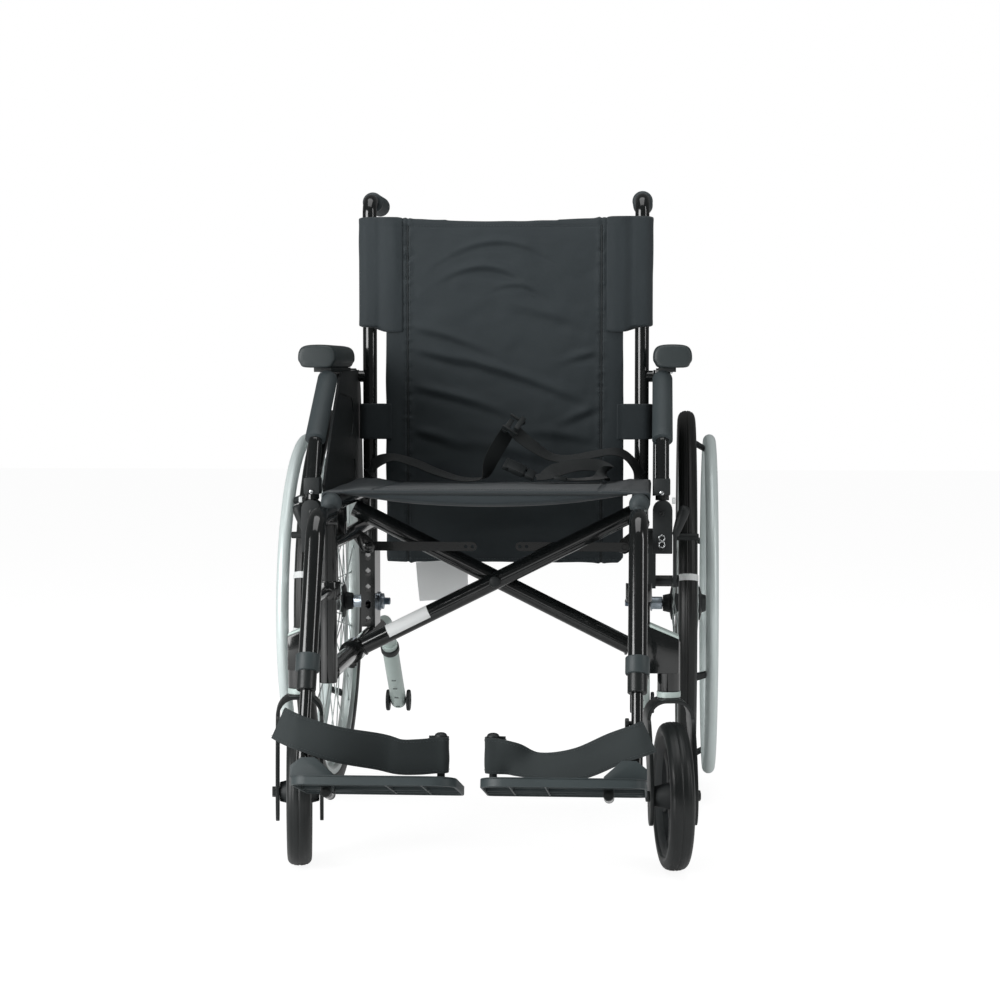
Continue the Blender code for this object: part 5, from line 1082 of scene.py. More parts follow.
def ribbon(name, rows, thick, columns=8, ripple=0.0):
    """Mesh from rows of (x, fore, z, half width, up x, up fore, up z)."""
    bm = bmesh.new()
    layer = bm.loops.layers.uv.new("UVMap")
    frames = strap_frames(rows)
    grid, place = [], {}
    run = 0.0
    for i, (row, (spot, up, out)) in enumerate(zip(rows, frames)):
        if i:
            run += (spot - frames[i - 1][0]).length
        ring = []
        for face in (1, -1):
            for c in range(columns + 1):
                share = (c / columns * 2 - 1) * face
                edge = 1 - 0.35 * abs(share) ** 6
                wave = ripple * noise.noise(Vector((run * 22, share * 1.3, len(rows) * 0.1)))
                vert = bm.verts.new(spot + up * row[3] * share + out * (thick / 2 * edge * face + wave))
                place[vert] = (run, row[3] * share)
                ring.append(vert)
        grid.append(ring)
    count = len(grid[0])
    for here, there in zip(grid, grid[1:]):
        for j in range(count):
            k = (j + 1) % count
            bm.faces.new((here[j], here[k], there[k], there[j]))
    bm.faces.new(grid[0])
    bm.faces.new(grid[-1])
    bmesh.ops.recalc_face_normals(bm, faces=bm.faces)
    for face in bm.faces:
        for loop in face.loops:
            loop[layer].uv = place[loop.vert]
    mesh = bpy.data.meshes.new(name)
    bm.to_mesh(mesh)
    bm.free()
    return mesh


def edge_line(rows, share, lift):
    """Seam along a ribbon, a share of its half width from the middle and lifted off its face."""
    return [spot + up * row[3] * share + out * lift for row, (spot, up, out) in zip(rows, strap_frames(rows))]


# %% [markdown]
# Each heel strap starts at the post, bows back behind the heel and passes in front of the footrest tube
# to its outer end. It is doubled nylon cloth, hemmed and stitched along both edges.

# %% Heel straps
def make_heel_strap(name, side):
    post_f, post_x = SOLE_F + 0.0085 * math.cos(TILT), POST_X[side]

    def front(z, back):
        return HANGER_TOP_F + (HANGER_Z - z) * math.tan(LEAN) + 0.0110 - back

    round_post = [(0.016, -0.0080), (0.004, -0.0092), (-0.0075, -0.0060), (-0.0095, 0.0010), (-0.0060, 0.0075),
                  (0.006, 0.0100)]
    route = [(post_x + a, post_f + b, 0.1755, 0.0232, 0, 1) for a, b in round_post]
    if side < 0:
        route += [
            (0.070, 0.704, 0.1745, 0.0232, 0, 1), (0.094, 0.710, 0.1755, 0.0228, -0.05, 0.98),
            (0.119, 0.717, 0.1830, 0.0235, -0.1, 0.97), (0.169, front(0.197, 0.012), 0.1965, 0.0230, -0.3, 0.95),
            (FRAME_X, front(0.211, 0), 0.2110, 0.0220, -0.39, 0.92),
            (0.233, front(0.2175, 0.003), 0.2175, 0.0218, -0.39, 0.92),
            (0.2465, front(0.222, 0.012), 0.2220, 0.0215, -0.39, 0.92)]
    else:
        route += [
            (0.052, 0.702, 0.1735, 0.0220, 0.1, 0.98), (0.0845, 0.710, 0.1665, 0.0175, -0.55, 0.83),
            (0.1375, front(0.175, 0.026), 0.1745, 0.0208, -0.3, 0.95),
            (0.185, front(0.196, 0.007), 0.1960, 0.0218, -0.39, 0.92),
            (FRAME_X, front(0.2055, 0), 0.2065, 0.0218, -0.39, 0.92),
            (0.2285, front(0.212, 0.003), 0.2120, 0.0216, -0.39, 0.92)]
    rows = through([(side * x, f, z, half, 0.0, up_f, up_z) for x, f, z, half, up_f, up_z in route], 9)
    mesh = ribbon(f"{name}_strap", rows, 0.0026, 10, 0.0010)
    strap = object_of(f"{name}_strap", mesh, STRAP_CLOTH, f"footplate_{name}", [f"{name}_heel_strap"], 50)
    lines = [edge_line(rows, share, lift) for share in (-0.84, 0.84) for lift in (0.0016, -0.0016)]
    seam = grown(f"{name}_strap_stitches", STITCHES, lines, {"Pitch": 0.0042, "Length": 0.0030,
                 "Thickness": 0.0006}, THREAD, f"footplate_{name}")
    anchor = at(side * 0.205, 0.72, 0.2)
    for soft in (strap, seam):
        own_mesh(soft)
    print(strap.name, "length", round(sum((Vector(a[:3]) - Vector(b[:3])).length for a, b in zip(rows, rows[1:])), 3))


both(make_heel_strap)

# %% [markdown]
# The armrest is one bent tube with a foam sleeve on its slope, a moulded pad on top and a flat side
# panel that keeps clothes out of the wheel. Its front foot drops into a socket on the upper rail.

# %% Armrests
ARM_X, ARM_R, ARM_Z = 0.2445, 0.0095, 0.664


def make_armrest(name, side):
    x = side * ARM_X
    body = f"armrest_{name}"
    points = [at(x, 0.447, 0.4938), at(x, 0.447, 0.516), at(x, 0.418, 0.578), at(x, 0.290, ARM_Z),
              at(x, CANE_F - 0.0115, ARM_Z)]
    out = AXIS_X * side
    pivot = at(x, CANE_F, ARM_Z)
    boss = hoop(mirrored([(0.0056, -0.0096), (0.0120, -0.0096), (0.0125, -0.0090)]), pivot, out, 36)
    route = rounded(points, [0.03, 0.03, 0.03], 12)
    piece(f"{name}_arm_tube", GLOSS_BLACK, body, [pipe(route, ARM_R, 36), boss], [f"{name}_arm_frame"])
    slope = route[18:27] + [route[26].lerp(route[27], k / 8) for k in range(1, 8)] + route[27:31]
    sleeve = pipe(slope, lambda share: 0.0145 * min(1.0, 0.80 + 6 * min(share, 1 - share)), 40)
    piece(f"{name}_foam_sleeve", FOAM, body, [sleeve], [f"{name}_arm_sleeve"], 60)


both(make_armrest)

# %% [markdown]
# The pad is self-skinned foam. Its section is a rounded trapezium with a shallow groove low on each
# side, and both ends close down. It is lofted, then a subdivision surface makes it even.

# %% Arm pads
def make_arm_pad(name, side):
    bottom = ARM_Z + ARM_R + 0.0036
    middle, half = 0.259, 0.0286
    half_section = [(0.70, 0.0), (0.84, 0.06), (0.90, 0.20), (0.97, 0.26), (1.0, 0.34), (1.0, 0.55), (0.95, 0.74),
                    (0.82, 0.90), (0.55, 0.98)]
    section = [(-0.70, 0.0), (0.0, 0.0), *half_section, (0.0, 1.0),
               *((-px, pz) for px, pz in reversed(half_section[1:]))]
    rings = []
    stops = [(0.0, 0.84, 0.78), (0.010, 0.94, 0.92), (0.040, 0.99, 0.98), (0.12, 1.0, 1.0), (0.3, 1.0, 1.0),
             (0.5, 0.985, 1.0), (0.7, 1.0, 1.0), (0.88, 1.0, 1.0), (0.955, 0.95, 0.93), (0.988, 0.80, 0.76),
             (1.0, 0.62, 0.55)]
    for share, wide, high in stops:
        fore = 0.3105 + (0.0715 - 0.3105) * share
        rings.append([at(side * (middle + half * wide * px), fore, bottom + 0.0345 * (0.5 - high / 2 + high * pz) * (
            1.0 if pz > 0.05 else 0.4)) for px, pz in section])
    final = refined(gathered(f"{name}_pad", [shell(rings)]), 2)
    pad = object_of(f"{name}_pad", final, PAD_SKIN, f"armrest_{name}", [f"{name}_arm_pad"], 60)
    base = block(side, 0.2385, 0.2640, 0.082, 0.300, ARM_Z + 0.0070, ARM_Z + ARM_R + 0.0042, 0.0006)
    piece(f"{name}_pad_base", GRAINED, f"armrest_{name}", [base])
    screws = [domed_screw(at(side * 0.2560, fore, ARM_Z + 0.0070), -AXIS_Z, 0.0036) for fore in (0.110, 0.270)]
    piece(f"{name}_pad_screws", BRIGHT, f"armrest_{name}", screws)
    print(pad.name, len(final.polygons))


both(make_arm_pad)
for name in SIDES:
    for node in ("side_panel", "axle_plate", "brake_bracket", "strut"):
        solid = frame["nodes"][f"{name}_{node}"]
        look = {"side_panel": GRAINED, "brake_bracket": SATIN_BLACK}.get(node, GLOSS_BLACK)
        solid.data.materials.clear()
        solid.data.materials.append(look)
print("kept solids dressed")


# %% [markdown]
# Small fittings carry a lot of the look at the armrest's foot: a moulded block with two screws, a pale
# tab and a figure-eight plate of bright metal beneath it.

# %% Socket fittings
def make_socket_fittings(name, side):
    body = f"frame_{name}"
    front = 0.461
    dome = [(0.245 + 0.0137 * math.sin(math.radians(a)), 0.4798 + 0.0137 * math.cos(math.radians(a)))
            for a in range(-90, 91, 15)]
    holder = front_plate(0.4345, front, [(side * px, pz) for px, pz in ((0.2313, 0.420), *dome, (0.2587, 0.420))],
                         0.0012)
    piece(f"{name}_socket_holder", GRAINED, body, [holder], [f"{name}_arm_socket"])
    dark = [domed_screw(at(side * 0.2440, front, z), AXIS_FORE, 0.0036) for z in (0.476, 0.427)]
    piece(f"{name}_socket_dark_screws", SATIN_BLACK, body, dark)
    collar = block(side, 0.2328, 0.2556, 0.4345, 0.4595, 0.5005, 0.5240, 0.0025)
    piece(f"{name}_socket_collar", GRAINED, f"armrest_{name}", [collar])
    screw = domed_screw(at(side * 0.2440, 0.4595, 0.5045), AXIS_FORE, 0.0034)
    piece(f"{name}_socket_screw", BRIGHT, f"armrest_{name}", [screw])
    eight = []
    for z in (0.4420, 0.4330):
        ring = [(0.0040 + 0.0011 * math.cos(2 * math.pi * k / 10), 0.0011 * math.sin(2 * math.pi * k / 10))
                for k in range(10)]
        eight.append(hoop(ring, at(side * 0.2440, front + 0.0012, z), AXIS_FORE, 24))
    piece(f"{name}_figure_eight", BRIGHT, body, eight)
    tab = block(side, 0.2580, 0.2628, 0.438, 0.456, 0.489, 0.497, 0.001)
    piece(f"{name}_pale_tab", PALE, body, [tab])


both(make_socket_fittings)

# %% [markdown]
# The brake is a bent lever with a knob on top and a roller shoe that presses on the tyre. It is a thin
# plate, so its outline matters more than its thickness.

# %% Brakes
def make_brake(name, side):
    pf, pz = 0.345, 0.372
    sf, sz = 0.300, 0.432
    lever = [(sf - 0.007, sz - 0.006), (sf + 0.007, sz - 0.010), (pf - 0.010, pz - 0.007), (pf + 0.006, pz - 0.010),
             (pf + 0.013, pz + 0.004), (0.386, 0.440), (0.388, 0.452), (0.374, 0.452), (0.348, 0.398),
             (sf + 0.006, sz + 0.007), (sf - 0.007, sz + 0.006)]
    arm = side_plate(side, 0.2605, 0.2655, smooth_outline(lever, 1), 0.0008)
    shoe = bar(at(side * 0.2615, sf, sz), at(side * 0.298, sf, sz), 0.005, 28, 0.001)
    axis = Vector((side * 0.36, 0, 1))
    knob = lathe([(0.0045, 0), (0.0058, 0.008), (0.0072, 0.020), (0.0080, 0.030), (0.0080, 0.037), (0.0068, 0.0415),
                  (0.0040, 0.0438), (0.001, 0.0444)], at(side * 0.263, 0.381, 0.440), axis, 28)
    hub = lathe([(0.008, 0.0053), (0.0086, 0.006), (0.0086, 0.0078), (0.007, 0.0088), (0.003, 0.009)],
                at(side * 0.2605, pf, pz), AXIS_X * side, 28)
    piece(f"{name}_brake_arm", GRAINED, f"brake_{name}", [arm, shoe, knob, hub], [f"{name}_brake_lever"])


both(make_brake)

# %% [markdown]
# The anti-tip legs telescope out of the lower rails and end in a pair of small wheels. They are painted
# light grey, with a black collar at the top, a row of setting holes and a round end.

# %% Anti-tip legs
SLOPE = math.radians(40.3)
LEG_DOWN = Vector((0, math.cos(SLOPE), -math.sin(SLOPE)))


def on_leg(side, distance):
    return at(side * FRAME_X, -0.1516, LOWER_Z) + LEG_DOWN * distance


def make_anti_tip(name, side):
    x = side * FRAME_X
    path = rounded([at(x, 0.004, LOWER_Z), at(x, -0.1516, LOWER_Z), on_leg(side, 0.126)], [0.060], 14)
    piece(f"{name}_tip_tube", LEG_GREY, f"frame_{name}", [pipe(path, 0.011, 32)], [f"{name}_anti_tip_tube"])
    top = on_leg(side, 0.066)
    leg = [(0.0117, 0.0005), (0.0133, 0.0006), (0.0135, 0.003), (0.0135, 0.1855), (0.0125, 0.1890), (0.0100, 0.1925),
           (0.0060, 0.1943), (0.0010, 0.1950)]
    piece(f"{name}_tip_leg", LEG_GREY, f"anti_tip_{name}", [lathe(leg, top, LEG_DOWN, 40)],
          [f"{name}_anti_tip_leg"])
    collar = [(0.0138, -0.0005), (0.0153, 0.0003), (0.0157, 0.0015), (0.0157, 0.0125), (0.0150, 0.0140),
              (0.0138, 0.0145)]
    dots = []
    front = AXIS_X.cross(LEG_DOWN).normalized()
    front = front if front.y < 0 else -front
    for down in (0.099, 0.125, 0.154, 0.182):
        spot = top + LEG_DOWN * down + front * 0.0133
        dots.append(bar(spot - AXIS_X * 0.0035, spot + AXIS_X * 0.0035, 0.0009, 10, 0.0002))
    shells = [hoop(collar, top + LEG_DOWN * 0.010, LEG_DOWN, 40), *dots]
    piece(f"{name}_tip_collar", GRAINED, f"anti_tip_{name}", shells)
    axle = on_leg(side, 0.2485)
    shells = [bar(axle - AXIS_X * 0.0205, axle + AXIS_X * 0.0205, 0.003, 20)]
    for sign in (-1, 1):
        profile = [(0.0040, 0.0142), (0.0105, 0.0144), (0.0115, 0.0150), (0.0150, 0.0146), (0.0176, 0.0150),
                   (0.0185, 0.0162), (0.0185, 0.0195), (0.0176, 0.0207), (0.0150, 0.0211), (0.0115, 0.0204),
                   (0.0105, 0.0210), (0.0040, 0.0212)]
        shells.append(hoop(profile, axle, AXIS_X * sign, 40))
    piece(f"{name}_tip_wheels", GRAINED, f"anti_tip_wheels_{name}", shells, [f"{name}_anti_tip_wheels"])


both(make_anti_tip)

# %% [markdown]
# Two crossed tubes fold the chair. Each is clamped round one lower rail and carries the seat rail of the
# other side, whose ball-shaped cap shows beside the seat's front corner. A bolt joins them in the middle.

# %% Folding cross
CROSS_HIGH = LOWER_Z + 2 * FRAME_X * math.tan(math.radians(26.5))


def make_cross_member(name, side):
    layer = FOLD_F + (0.013 if side < 0 else -0.013)
    low, high = at(side * FRAME_X, layer, LOWER_Z), at(-side * FRAME_X, layer, CROSS_HIGH)
    along = (high - low).normalized()
    rail_start = at(-side * FRAME_X, 0.075, SEAT_RAIL_Z)
    tube = bar(low + along * 0.0158, high, 0.0127, 40)
    rail = lathe([(0.0119, 0.0), (0.0125, 0.0006), (0.0125, 0.402)], rail_start, AXIS_FORE, 36)
    clamp = hoop(mirrored([(0.0128, -0.020), (0.0170, -0.020), (0.0178, -0.0190)]), low, AXIS_FORE, 40)
    weld = bead(low + along * 0.0176, along, 0.0128)
    piece(f"{name}_cross_tube", GLOSS_BLACK, f"cross_{name}", [tube, rail, clamp, weld], [f"{name}_cross_member"])
    ball = [(0.0126, 0.4022), (0.0140, 0.4035), (0.0143, 0.4080), (0.0141, 0.4135), (0.0128, 0.4185),
            (0.0100, 0.4222), (0.0060, 0.4244), (0.0015, 0.4250)]
    cap = lathe(ball, rail_start, AXIS_FORE, 40)
    piece(f"{name}_rail_cap", FOAM, f"cross_{name}", [cap], smooth=60, slot="black_plastic")
    bolts = []
    for shift in (-0.011, 0.011):
        foot = low - AXIS_FORE * shift - AXIS_Z * 0.0168
        bolts.append(hexagon(foot, -AXIS_Z, 0.0048, 0.0068))
    piece(f"{name}_clamp_bolts", SATIN_BLACK, f"cross_{name}", bolts)


both(make_cross_member)
centre = at(0, FOLD_F, (LOWER_Z + CROSS_HIGH) / 2)
bolt = lathe([(0.0082, 0.0262), (0.0088, 0.0270), (0.0088, 0.0292), (0.0076, 0.0312), (0.0045, 0.0323),
              (0.001, 0.0326)], centre, AXIS_FORE, 32)
shank = bar(centre - AXIS_FORE * 0.0262, centre + AXIS_FORE * 0.0262, 0.004, 20)
nut = hexagon(centre - AXIS_FORE * 0.0261, -AXIS_FORE, 0.0085, 0.0060)
piece("cross_bolt_set", GRAINED, "cross_right", [bolt, shank, nut], ["cross_bolt"])

# %% [markdown]
# The front cross tube and a tag under the seat carry labels in the photograph. Both stay bare here:
# a thin pale sleeve round the tube, and a small creased sheet.

# %% Bare labels
def make_tube_label():
    low, high = at(-FRAME_X, FOLD_F + 0.013, LOWER_Z), at(FRAME_X, FOLD_F + 0.013, CROSS_HIGH)
    along = (high - low).normalized()
    reach = (high - low).length
    start = low + along * reach * 0.128
    across = along.cross(AXIS_FORE).normalized()
    rings = []
    for k in range(19):
        turn = math.radians(-100 + 125 * k / 18)
        out = AXIS_FORE * math.cos(turn) + across * math.sin(turn)
        rings.append([start + out * 0.01278, start + out * 0.01292, start + along * 0.068 + out * 0.01292,
                      start + along * 0.068 + out * 0.01278])
    piece("tube_label", PAPER, "cross_right", [shell(rings)], smooth=60)


make_tube_label()


def make_tag():
    rows = []
    for k in range(9):
        share = k / 8
        z = 0.380 - 0.060 * share
        rows.append((-0.094 + 0.004 * share, 0.115 + 0.006 * math.sin(share * 2.5), z, 0.040 - 0.002 * share, 1.0, 0.0,
                     0.05))
    mesh = ribbon("hanging_tag", rows, 0.0004, 8, 0.0012)
    tag = object_of("hanging_tag", mesh, PAPER, "cross_left", smooth=60)
    tuple(at(-0.094, 0.115, 0.38))
    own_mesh(tag)
    return tag


tag = make_tag()
print("labels bare")

# %% [markdown]
# Padded cloth bulges between its seams. The pad is first built a little thin, remeshed into even quads,
# and then blown up by a short cloth simulation with a small inside pressure and no gravity. No point may
# move further than a cap, so the pad keeps its size. Seams and stitches are pressed in afterwards.

# %% Puffing a pad
def settled(mesh, voxel, pressure, cap, held):
    """Remesh a closed shape and let a short cloth simulation fill it out."""
    obj = bpy.data.objects.new("pad", mesh)
    scene.collection.objects.link(obj)
    remesh = obj.modifiers.new("even", "REMESH")
    remesh.mode = "VOXEL"
    remesh.voxel_size = voxel
    even = evaluated(obj)
    obj.modifiers.clear()
    obj.data = even
    before = np.empty(len(even.vertices) * 3, np.float32)
    even.vertices.foreach_get("co", before)
    before = before.reshape(-1, 3)
    group = obj.vertex_groups.new(name="held")
    for index, co in enumerate(before):
        weight = held(Vector(co))
        if weight > 0:
            group.add([index], weight, "REPLACE")
    cloth = obj.modifiers.new("cloth", "CLOTH")
    cloth.settings.quality = 5
    cloth.settings.use_pressure = True
    cloth.settings.uniform_pressure_force = pressure
    cloth.settings.vertex_group_mass = "held"
    cloth.settings.shrink_min = 0.0
    cloth.settings.effector_weights.gravity = 0.0
    cloth.settings.bending_stiffness = 0.2
    for step in range(1, 21):
        scene.frame_set(step)
    after_mesh = evaluated(obj)
    after = np.empty(len(even.vertices) * 3, np.float32)
    after_mesh.vertices.foreach_get("co", after)
    after = after.reshape(-1, 3)
    move = after - before
    size = np.linalg.norm(move, axis=1, keepdims=True)
    move *= np.minimum(1.0, cap / np.maximum(size, 1e-9))
    even.vertices.foreach_set("co", (before + move).ravel())
    obj.modifiers.clear()
    scene.frame_set(1)
    print("puffed", len(before), "points, widest move", round(float(size.max()) * 1000, 1), "mm")
    bpy.data.objects.remove(obj)
    return even


def coords(mesh):
    co = np.empty(len(mesh.vertices) * 3, np.float32)
    mesh.vertices.foreach_get("co", co)
    return co.reshape(-1, 3).astype(float)


def normals(mesh):
    no = np.empty(len(mesh.vertices) * 3, np.float32)
    mesh.vertices.foreach_get("normal", no)
    return no.reshape(-1, 3).astype(float)


def put_back(mesh, co):
    mesh.vertices.foreach_set("co", co.astype(np.float32).ravel())
    mesh.update()


# %% [markdown]
# The seat is a padded sling over the two seat rails. It bellies down between them, its front edge is
# rounded and piped, and two long seams run from front to back. A chair folds through the middle of its
# seat, so the finished pad is cut in two halves that each follow their own rail.

# %% Seat shape
SEAT_REAR_F, SEAT_FRONT_F = 0.072, 0.476
SEAT_TOP, SEAT_BELLY, BELLY_X = 0.5065, 0.4850, 0.1995
HALVES = (("right", -1, "cross_left"), ("left", 1, "cross_right"))


def seat_shell():
    rail_top = SEAT_RAIL_Z + RAIL_R + 0.0004
    outer = FRAME_X + RAIL_R + 0.0004
    flap = outer + 0.0031
    steps = 22
    half = []
    for i in range(steps + 1):
        share = i / steps
        x = BELLY_X * share
        half.append((x, 0.0, SEAT_BELLY + (rail_top - SEAT_BELLY) * share ** 2))
    lower = half + [(0.2065, 0, rail_top), (0.2135, 0, rail_top + 0.0002), (0.2200, 0, rail_top - 0.0006),
                    (outer, 0, rail_top - 0.0045), (outer, 0, 0.4930), (outer, 0, 0.4862), (flap, 0, 0.4862)]
    upper = [(flap, 1, 0.4940), (flap, 1, SEAT_TOP - 0.006), (flap - 0.002, 1, SEAT_TOP - 0.0018),
             (flap - 0.006, 1, SEAT_TOP - 0.0002), (0.2135, 1, SEAT_TOP)]
    upper += [(BELLY_X * i / steps, 1, SEAT_TOP) for i in range(steps, -1, -1)]
    points = lower + upper
    outline = points + [(-x, kind, z) for x, kind, z in reversed(points[1:-1])]
    rings = []
    count = 48
    for j in range(count + 1):
        share = j / count
        fore = SEAT_REAR_F + (SEAT_FRONT_F - SEAT_REAR_F) * share
        ahead = (SEAT_FRONT_F - fore) / 0.011
        behind = (fore - SEAT_REAR_F) / 0.008
        close = math.sqrt(max(0.0, 1 - max(0.0, 1 - min(ahead, behind)) ** 2))
        least = 0.74 if ahead < behind else 0.16
        drop = 0.0080 * (1 - share) ** 1.3
        ring = []
        for x, kind, z in outline:
            under = rail_top if abs(x) > BELLY_X else SEAT_BELLY + (rail_top - SEAT_BELLY) * (x / BELLY_X) ** 2
            middle = (SEAT_TOP + under) / 2
            if abs(x) > 0.2135:
                ring.append(at(x, fore, z))
            else:
                fall = drop * max(0.0, min(1.0, (0.205 - abs(x)) / 0.04))
                ring.append(at(x, fore, middle + (z - middle) * max(least, close) - fall))
        rings.append(ring)
    return shell(rings)


def seat_held(point):
    return 1.0 if abs(point.x) > 0.203 else 0.0


seat_mesh = settled(gathered("seat", [seat_shell()]), 0.0042, 4.0, 0.0016, seat_held)
seat_mesh = refined(seat_mesh)
co, no = coords(seat_mesh), normals(seat_mesh)
fore = AXLE_Y - co[:, 1]
top = np.clip(no[:, 2], 0, 1)
ripple = np.array([noise.noise(Vector((x * 16, y * 9, 3.1))) + 0.5 * noise.noise(Vector((x * 34 + 5, y * 21, 1.7)))
                   for x, y, _ in co])
groove = np.exp(-((np.abs(co[:, 0]) - 0.158) / 0.0022) ** 2) + np.exp(-((fore - 0.452) / 0.0020) ** 2)
co += no * (ripple * 0.0009 * top - groove * 0.0013 * top)[:, None]
put_back(seat_mesh, co)
print("seat", len(seat_mesh.polygons), "faces")


# %% [markdown]
# To halve the seat without a visible line, the cut follows X = 0 exactly and both halves keep the whole
# pad's normals as custom normals.

# %% Seat halves
def half_of(mesh, side, name):
    bm = bmesh.new()
    bm.from_mesh(mesh)
    geometry = bm.verts[:] + bm.edges[:] + bm.faces[:]
    bmesh.ops.bisect_plane(bm, geom=geometry, dist=1e-6, plane_co=(0, 0, 0), plane_no=(-side, 0, 0),
                           clear_outer=True)
    open_edges = [edge for edge in bm.edges if edge.is_boundary]
    bmesh.ops.holes_fill(bm, edges=open_edges)
    cut = bpy.data.meshes.new(name)
    bm.to_mesh(cut)
    bm.free()
    return cut


def add_normals(half, whole):
    """Give a half the smooth normals of the whole surface, but not on the cut's own face."""
    tree = BVHTree.FromPolygons([v.co for v in whole.vertices], [p.vertices[:] for p in whole.polygons])
    smooth = [v.normal.copy() for v in whole.vertices]
    spots = [v.co.copy() for v in whole.vertices]
    half.shade_smooth()
    loops = [None] * len(half.loops)
    for polygon in half.polygons:
        for index in polygon.loop_indices:
            vertex = half.vertices[half.loops[index].vertex_index]
            if abs(polygon.normal.x) > 0.98 and abs(polygon.center.x) < 1e-4:
                loops[index] = polygon.normal.copy()
                continue
            if abs(vertex.co.x) > 0.012:
                loops[index] = vertex.normal.copy()
                continue
            _, _, face, _ = tree.find_nearest(vertex.co)
            corners = whole.polygons[face].vertices
            total = Vector()
            for corner in corners:
                total += smooth[corner] / ((spots[corner] - vertex.co).length + 1e-5)
            loops[index] = total.normalized()
    half.normals_split_custom_set(loops)


seat_pieces = {}
for name, side, body in HALVES:
    half = half_of(seat_mesh, side, f"seat_{name}_half")
    add_normals(half, seat_mesh)
    seat_pieces[name] = object_of(f"seat_{name}_half", half, NYLON, body, ["seat_sling"], 0)

seat_tree = BVHTree.FromPolygons([v.co for v in seat_mesh.vertices], [p.vertices[:] for p in seat_mesh.polygons])


def on_top(x, fore, lift):
    hit, normal, _, _ = seat_tree.ray_cast(at(x, fore, 0.60), Vector((0, 0, -1)))
    return hit + normal * lift if hit else at(x, fore, SEAT_TOP)


def seat_line(side, points):
    return [on_top(side * x, fore, 0.0002) for x, fore in points]


seat_trim = {}
for name, side, body in HALVES:
    runs = [[(0.1545, 0.085 + k * 0.006) for k in range(62)], [(0.1615, 0.085 + k * 0.006) for k in range(62)],
            [(0.002 + k * 0.006, 0.4485) for k in range(34)], [(0.002 + k * 0.006, 0.4555) for k in range(34)]]
    seam = grown(f"seat_{name}_stitches", STITCHES, [seat_line(side, run) for run in runs],
                 {"Pitch": 0.0045, "Length": 0.0032, "Thickness": 0.00065}, THREAD, body)
    edge = []
    for k in range(45):
        x = 0.2200 * k / 44
        hit, *_ = seat_tree.ray_cast(at(side * x, 0.60, SEAT_TOP - 0.0045), Vector((0, 1, 0)))
        edge.append(hit + Vector((0, -0.0004, 0.0006)) if hit else at(side * x, SEAT_FRONT_F, SEAT_TOP - 0.004))
    piping = piece(f"seat_{name}_piping", HEM, body, [pipe(edge, 0.0019, 12)], smooth=60)
    seat_trim[name] = (seam, piping)
for name, side in SIDES.items():
    rail = at(side * FRAME_X, 0.25, SEAT_RAIL_Z)
    for soft in (seat_pieces[name], *seat_trim[name]):
        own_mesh(soft)
print("seat halves ready")

# %% [markdown]
# The back is a padded panel between the canes. Two sewn seams divide it into a middle and two borders;
# at the top, wide sleeves reach round the canes, and lower down a band on each side does the same. The
# long diagonal creases come from the sag between the canes, so they are pressed in as soft waves.

# %% Back panel
BACK_LOW, BACK_HIGH = -0.1885, 0.1865
BACK_BOTTOM, BACK_TOP = 0.371, 0.913
SEAM_X = (-0.1515, 0.1505)
BACK_REAR_F = 0.0525


def crease_field(x, z):
    """Height of the soft folds: long diagonals that rise from the right border, and fine cross folds."""
    total = 0.0
    for cx, cz, length, width, angle, high in (
            (-0.004, 0.874, 0.065, 0.006, -0.05, 1.0), (-0.024, 0.835, 0.050, 0.007, -0.10, 1.4),
            (0.027, 0.807, 0.032, 0.006, -0.20, 0.9), (0.060, 0.765, 0.050, 0.009, -0.25, 0.7),
            (-0.085, 0.7275, 0.060, 0.008, -0.31, 1.2), (-0.008, 0.676, 0.120, 0.008, -0.30, 1.7),
            (-0.085, 0.690, 0.035, 0.006, -0.30, 0.8), (-0.078, 0.635, 0.070, 0.008, -0.26, 1.4),
            (-0.114, 0.574, 0.035, 0.008, -0.27, 1.0), (0.130, 0.700, 0.030, 0.007, 0.20, 1.0),
            (0.125, 0.610, 0.030, 0.008, 0.35, 1.1), (0.090, 0.575, 0.050, 0.009, -0.15, 0.9),
            (0.020, 0.550, 0.090, 0.012, -0.20, 0.8), (-0.020, 0.480, 0.120, 0.015, -0.10, 0.6),
            (0.040, 0.430, 0.120, 0.016, 0.08, 0.6)):
        u = (x - cx) * math.cos(angle) + (z - cz) * math.sin(angle)
        bend = 0.25 if cz > 0.80 else 0.05
        v = -(x - cx) * math.sin(angle) + (z - cz) * math.cos(angle) + bend * u * u / length
        ridge = math.exp(-(u / length) ** 2) * math.exp(-(v / width) ** 2)
        valley = math.exp(-(u / length) ** 2) * math.exp(-((v + width * 1.3) / (width * 0.9)) ** 2)
        total += high * (ridge - 0.7 * valley)
    total += 0.35 * noise.noise(Vector((x * 20, z * 34, 0.7))) + 0.2 * noise.noise(Vector((x * 45, z * 60, 2.2)))
    return total


def back_shell():
    columns = [BACK_LOW + (BACK_HIGH - BACK_LOW) * i / 40 for i in range(41)]
    rings = []
    count = 60
    for j in range(count + 1):
        close = min(1.0, (j / count) / 0.015 + 0.25, (1 - j / count) / 0.015 + 0.25)
        front, rear = [], []
        for x in columns:
            share = (x - BACK_LOW) / (BACK_HIGH - BACK_LOW)
            round_off = math.sqrt(max(0.0, 1 - (1 - min(1.0, min(share, 1 - share) / 0.022)) ** 2))
            thick = 0.0046 * max(0.25, round_off) * close
            sag = 0.0022 * math.sin(math.pi * share)
            z = BACK_BOTTOM + (BACK_TOP - 2.2 * sag - BACK_BOTTOM) * j / count
            front.append(at(x, BACK_REAR_F + 0.0048 - sag * 0.4 + thick, z))
            rear.append(at(x, BACK_REAR_F + 0.0048 - sag * 0.4 - thick, z))
        rings.append(front + rear[::-1])
    return shell(rings)


